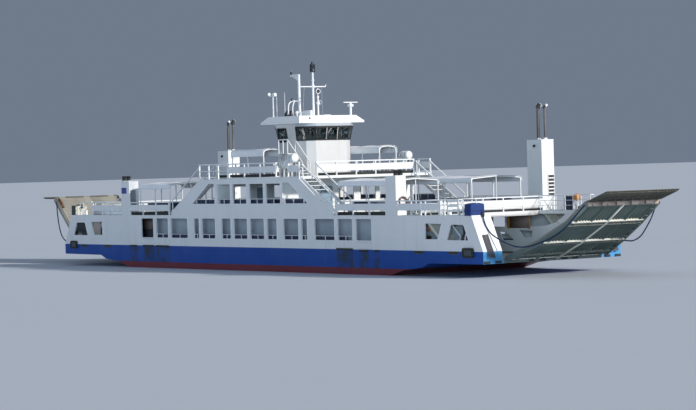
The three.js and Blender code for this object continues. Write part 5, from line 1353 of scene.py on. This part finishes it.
surfaces = upright_parts([((-1.000, -0.905, ROOF), WHIP + [(0.007, 0.884)], 8, 0),
                          ((-0.335, -1.000, ROOF), WHIP + [(0.007, 0.899)], 8, 0),
                          ((-0.020, -1.150, ROOF), DOME, 18, 1), ((0.265, -1.150, ROOF), DOME, 18, 1),
                          ((-0.590, -0.500, 6.24), [(0.030, 0), (0.030, 0.10), (0.015, 0.12)], 12, 1),
                          ((-0.555, -0.300, 5.812), 0.066 * BALL, 18, 0),
                          ((-0.555, -0.300, ROOF), [(0.03, 0), (0.03, 0.10)], 10, 0),
                          ((-0.393, -0.200, ROOF),
                           [(0.030, 0), (0.030, 0.15), (0.045, 0.155), (0.045, 0.18)], 12, 0)])
for out in (0.0, 0.20):
    arch_path = smooth_route([(-0.500, -0.730 + out, ROOF), (-0.500, -0.730 + out, 5.98),
                              (-0.530, -0.660 + out, 6.16), (-0.620, -0.430 + out / 2, 6.25),
                              (-0.790, -0.060, 6.24)], 6)
    surfaces.append(tubes(arch_path, 0.022, 10, ACROSS))
surfaces += [blocks([(-0.455, -0.09, ROOF), (-0.245, -0.09, ROOF)],
                    [(-0.275, 0.09, 5.872), (-0.075, 0.09, 5.884)]),
             blocks((-0.10, 0.30, ROOF), (0.34, 0.62, 5.70))]
piece("roof_fittings", "ship", [white_paint, lamp_black], surfaces, smooth=45)

# side mast: post, two balls, a whip, a loop and a horn facing ahead
side_x, side_y = 0.092, 0.220
surfaces = upright_parts([((side_x, side_y, ROOF),
                           [(0.055, 0), (0.055, 0.02), (0.034, 0.025), (0.030, 0.75)], 12, 0),
                          ((side_x, side_y, 6.145), 0.070 * BALL, 18, 0),
                          ((side_x, side_y, 6.200), [(0.014, 0), (0.014, 0.30)], 8, 0),
                          ((side_x, side_y, 6.372), 0.048 * BALL, 16, 0),
                          ((side_x, side_y, 6.55), [(0.02, 0), (0.02, 0.155)], 8, 0)])
a = np.arange(24) * 2 * np.pi / 24
loop = xyz(side_x + 0.05 * np.sin(a), side_y + 0.075 + 0.075 * np.cos(a), 6.16 + 0.085 * np.sin(a))
horn, horn_axis = (side_x - 0.01, side_y + 0.02, 6.585), (1, -0.25, 0)
surfaces += [tubes(loop, 0.008, 6, ALONG, closed=True),
             turned(horn, horn_axis, [(0.020, -0.16), (0.030, -0.06), (0.070, 0.0), (0.092, 0.030)], 20),
             (*turned(horn, horn_axis, [(0.070, 0.0301), (0.070, 0.036)], 20), 1)]
piece("side_mast", "ship", [white_paint, lamp_black], surfaces, smooth=45)

# black lantern on the main mast, lamps on both masts, a gusset and the halyards of the crosstree
GUSSET = np.array([(-0.84, 7.200), (-1.24, 7.200), (-0.84, 7.000)])
halyards = [[(0.100, 0.40 * k, 6.755), (0.05, 0.46 * k, ROOF)] for k in (-1, 1)]
LANTERN = [(0.060, 0), (0.098, 0.012), (0.102, 0.06), (0.098, 0.07), (0.098, 0.20), (0.102, 0.21),
           (0.099, 0.292), (0.050, 0.300), (0.038, 0.392)]
surfaces = upright_parts([
    ((0.100, 0, 7.300), LANTERN, 20, 0),
    ((-1.290, 0, 7.268), [(0.034, 0), (0.040, 0.02), (0.040, 0.11), (0.02, 0.135)], 14, 0),
    ((0.100, 0, 6.980), [(0.050, 0), (0.060, 0.01), (0.060, 0.035), (0.050, 0.045)], 16, 1),
    ((0.100, 0, 6.700), [(0.048, 0), (0.075, 0.04), (0.075, 0.09), (0.045, 0.13)], 16, 1)])
surfaces += [(*prism(*(xyz(GUSSET[:, 0], y, GUSSET[:, 1]) for y in (-0.008, 0.008))), 1),
             (*tubes(halyards, 0.003, 5), 1)]
piece("mast_lamps", "ship", [lamp_black, white_paint], surfaces, smooth=40)

# Liferafts
# Ribbed white glass-fibre canisters, two at each edge of the top deck. Each lies in a tube cradle on legs
# and is held there by steel bands.
raft_shell = weathered("raft_shell", (0.80, 0.81, 0.82), runs=0.3, patches=0.25, roughness=0.38)
RAFTS = [(1.800, 3.880), (2.300, 4.100)]
RAFT = {"y": 2.60, "radius": 0.156, "rib": 0.008, "band": 0.1655, "saddle": 0.168, "deck": 3.402}
half = [(0.060, -0.243), (0.120, -0.236), (0.148, -0.218), (RAFT["radius"], -0.19)]
ribs = [(RAFT["radius"] + RAFT["rib"] * (k % 2), at) for k, at in enumerate(np.linspace(-0.18, 0.18, 19))]
CANISTER = half + ribs + [(r, -d) for r, d in half[::-1]]
for side_name, side in SIDES:
    y, surfaces = side * RAFT["y"], []
    for x, z in RAFTS:
        surfaces += [turned((x, y, z), ALONG, CANISTER, 28),
                     (*turned((x - 0.006, y, z), ALONG, [(RAFT["band"], 0), (RAFT["band"], 0.012)], 28), 2)]
        for at in (-0.115, 0.115):
            saddle = smooth_route([(x + at, y + RAFT["saddle"] * np.cos(t), z + RAFT["saddle"] * np.sin(t))
                                   for t in np.linspace(np.pi * 1.08, np.pi * 1.92, 7)], 3)
            legs = [[(x + at, y + k * 0.085, z - 0.145), (x + at * 1.15, y + k * 0.115, RAFT["deck"])]
                    for k in (-1, 1)]
            band = [(RAFT["band"], 0), (RAFT["band"], 0.020)]
            surfaces += [(*turned((x + at - 0.010, y, z), ALONG, band, 28), 2),
                         (*tubes(saddle, 0.012, 8, ALONG), 1), (*tubes(legs, 0.015), 1)]
        rails = [[(x - 0.15, y + k * 0.100, 3.62), (x + 0.15, y + k * 0.100, 3.62)] for k in (-1, 1)]
        release = [(0.03, 0), (0.03, 0.06), (0.02, 0.07)]
        surfaces += [(*tubes(rails, 0.012), 1),
                     (*turned((x + 0.19, y, z - 0.155), (0, 0, -1), release, 12), 2)]
    surfaces.append((*blocks((1.600, y - 0.02 * side, RAFT["deck"]), (2.500, y + 0.02 * side, 3.420)), 1))
    rafts = piece(f"liferafts_made_{side_name}", "ship", [raft_shell, white_paint, worn_steel],
                  surfaces, smooth=35)
    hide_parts(f"liferafts_{side_name}")

# Doors, gates, masts and stairs
# Everything else in painted steel: the white of the ship on walls, rails and masts, a greyer white on the
# wheelhouse and its tower that is painted shade, a brighter white on its roof that is painted light from the
# sky, blue-grey on the doors with a kick plate, a porthole ring and a lever each.
door_blue = weathered("door_blue", (0.25, 0.36, 0.46), runs=0.4, patches=0.3, roughness=0.4)
PAIRED = ("deck_bulwark_near", "deck_bulwark_far", "deck_bulwark_end", "gate_near", "stair_near", "stair_far",
          "top_bulwark")
dress(white_paint, "cabin_walls", "lantern_mast", "pole_mast", "searchlight_mast", "radar_post",
      "radar_scanner", "wheelhouse_stair", *(f"{name}_{end}" for name in PAIRED for end in END_NAMES))
# greyer than the ship's white all over: painted shade, darkening the wheelhouse's shaded sides
wheelhouse_painted_shade = weathered("wheelhouse_painted_shade", (0.68, 0.68, 0.68), runs=0.18, patches=0.20)
# whiter than the ship's white: painted skylight on the roof, whose fascia faces the sky
roof_painted_skylight = weathered("roof_painted_skylight", (0.95, 0.955, 0.96), runs=0.10, patches=0.08)
dress(wheelhouse_painted_shade, "wheelhouse", "wheelhouse_tower")
dress(roof_painted_skylight, "wheelhouse_roof")
dress(door_blue, "tower_door", *(f"cabin_door_{end}" for end in END_NAMES))
bronze = weathered("propeller_bronze", (0.55, 0.33, 0.12), stain=(0.08, 0.20, 0.13, 1), runs=0.0, patches=0.6,
                   roughness=0.32, metallic=1.0)
thruster_red = weathered("thruster_red", (0.17, 0.022, 0.035), stain=(0.18, 0.20, 0.16, 1), runs=0.2,
                         patches=0.7, roughness=0.6)
dress(bronze, *(f"propeller_{end}" for end in END_NAMES))
dress(thruster_red, *(f"thruster_{end}" for end in END_NAMES))

# Deck edges
# Black rubber flaps in the gaps under the bulwarks, where water runs off, and a white beam under each end
# of the passenger deck. The flaps are also painted shade, keeping the gaps dark like the shaded space
# behind them.
GAP = {"low": 2.056, "low_top": 2.170, "high": 3.445, "high_top": 3.540}
surfaces = []
for side in (-1, 1):
    y = side * 2.945
    for x in (5.52, -8.36):
        surfaces.append(blocks((x, y - 0.003, GAP["low"]), (x + 2.84, y + 0.003, GAP["low_top"])))
    surfaces.append(blocks((-1.10, side * 2.940 - 0.003, GAP["high"]),
                           (1.80, side * 2.940 + 0.003, GAP["high_top"])))
    surfaces.append((*blocks((-11.29, side * 2.944, 2.056), (-8.99, side * 2.950, 2.214)), 1))
for end in (-1, 1):
    surfaces += [blocks((end * 10.244, -2.90, GAP["low"]), (end * 10.250, 2.38, 2.118)),
                 blocks((end * 3.236, -2.20, GAP["high"]), (end * 3.242, 2.20, GAP["high_top"])),
                 (*blocks((end * 10.3005, -2.195, 1.890), (end * 10.314, 2.195, 2.050)), 1),
                 (*blocks((end * 10.262, -2.99, 2.128), (end * 10.272, 2.42, 2.216)), 1)]
piece("deck_edges", "ship", [rubber, white_paint], surfaces)

# Searchlights and radar
# Two lamps on a thin post at the near edge of the roof, and a slim scanner bar turning on its gearbox
# over the far edge.
LAMP_Y = -1.180
POST = [(0.055, 0), (0.055, 0.015), (0.030, 0.02), (0.026, 0.79)]
surfaces = upright_parts([((-0.840, LAMP_Y, 5.6605), POST, 12, 0)])
surfaces += [tubes([(-1.070, LAMP_Y, 6.440), (-0.720, LAMP_Y, 6.440)], 0.015),
             turned((-0.840, -1.185, 6.500), (1, 0.10, 0),
                    [(0.030, -0.03), (0.058, 0.0), (0.064, 0.15), (0.056, 0.152)], 18),
             turned((-1.110, -1.175, 6.520), (1, -0.40, 0),
                    [(0.020, -0.02), (0.050, 0.0), (0.056, 0.06), (0.050, 0.062)], 16),
             tubes([[(-0.760, LAMP_Y, 6.440), (-0.760, LAMP_Y, 6.46)],
                    [(-1.060, LAMP_Y, 6.440), (-1.060, LAMP_Y, 6.48)]], 0.012)]
searchlights = piece("searchlights", "ship", [white_paint], surfaces, smooth=40)
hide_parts("searchlight_mast")
bar = np.array([(0.850, 0.835, 6.140), (0.850, 0.90, 6.140), (0.850, 1.44, 6.140), (0.850, 1.505, 6.140)])
gearbox = [(0.060, 0), (0.060, 0.03), (0.035, 0.04), (0.035, 0.070)]
scanner = piece("radar_bar", "radar_scanner", [white_paint],
                [flats(bar, 0.045, 0.034, widths=[0.45, 1.0, 1.0, 0.45]),
                 turned((0.850, 1.170, 6.0605), UP, gearbox, 16)], smooth=35)
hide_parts("radar_scanner")
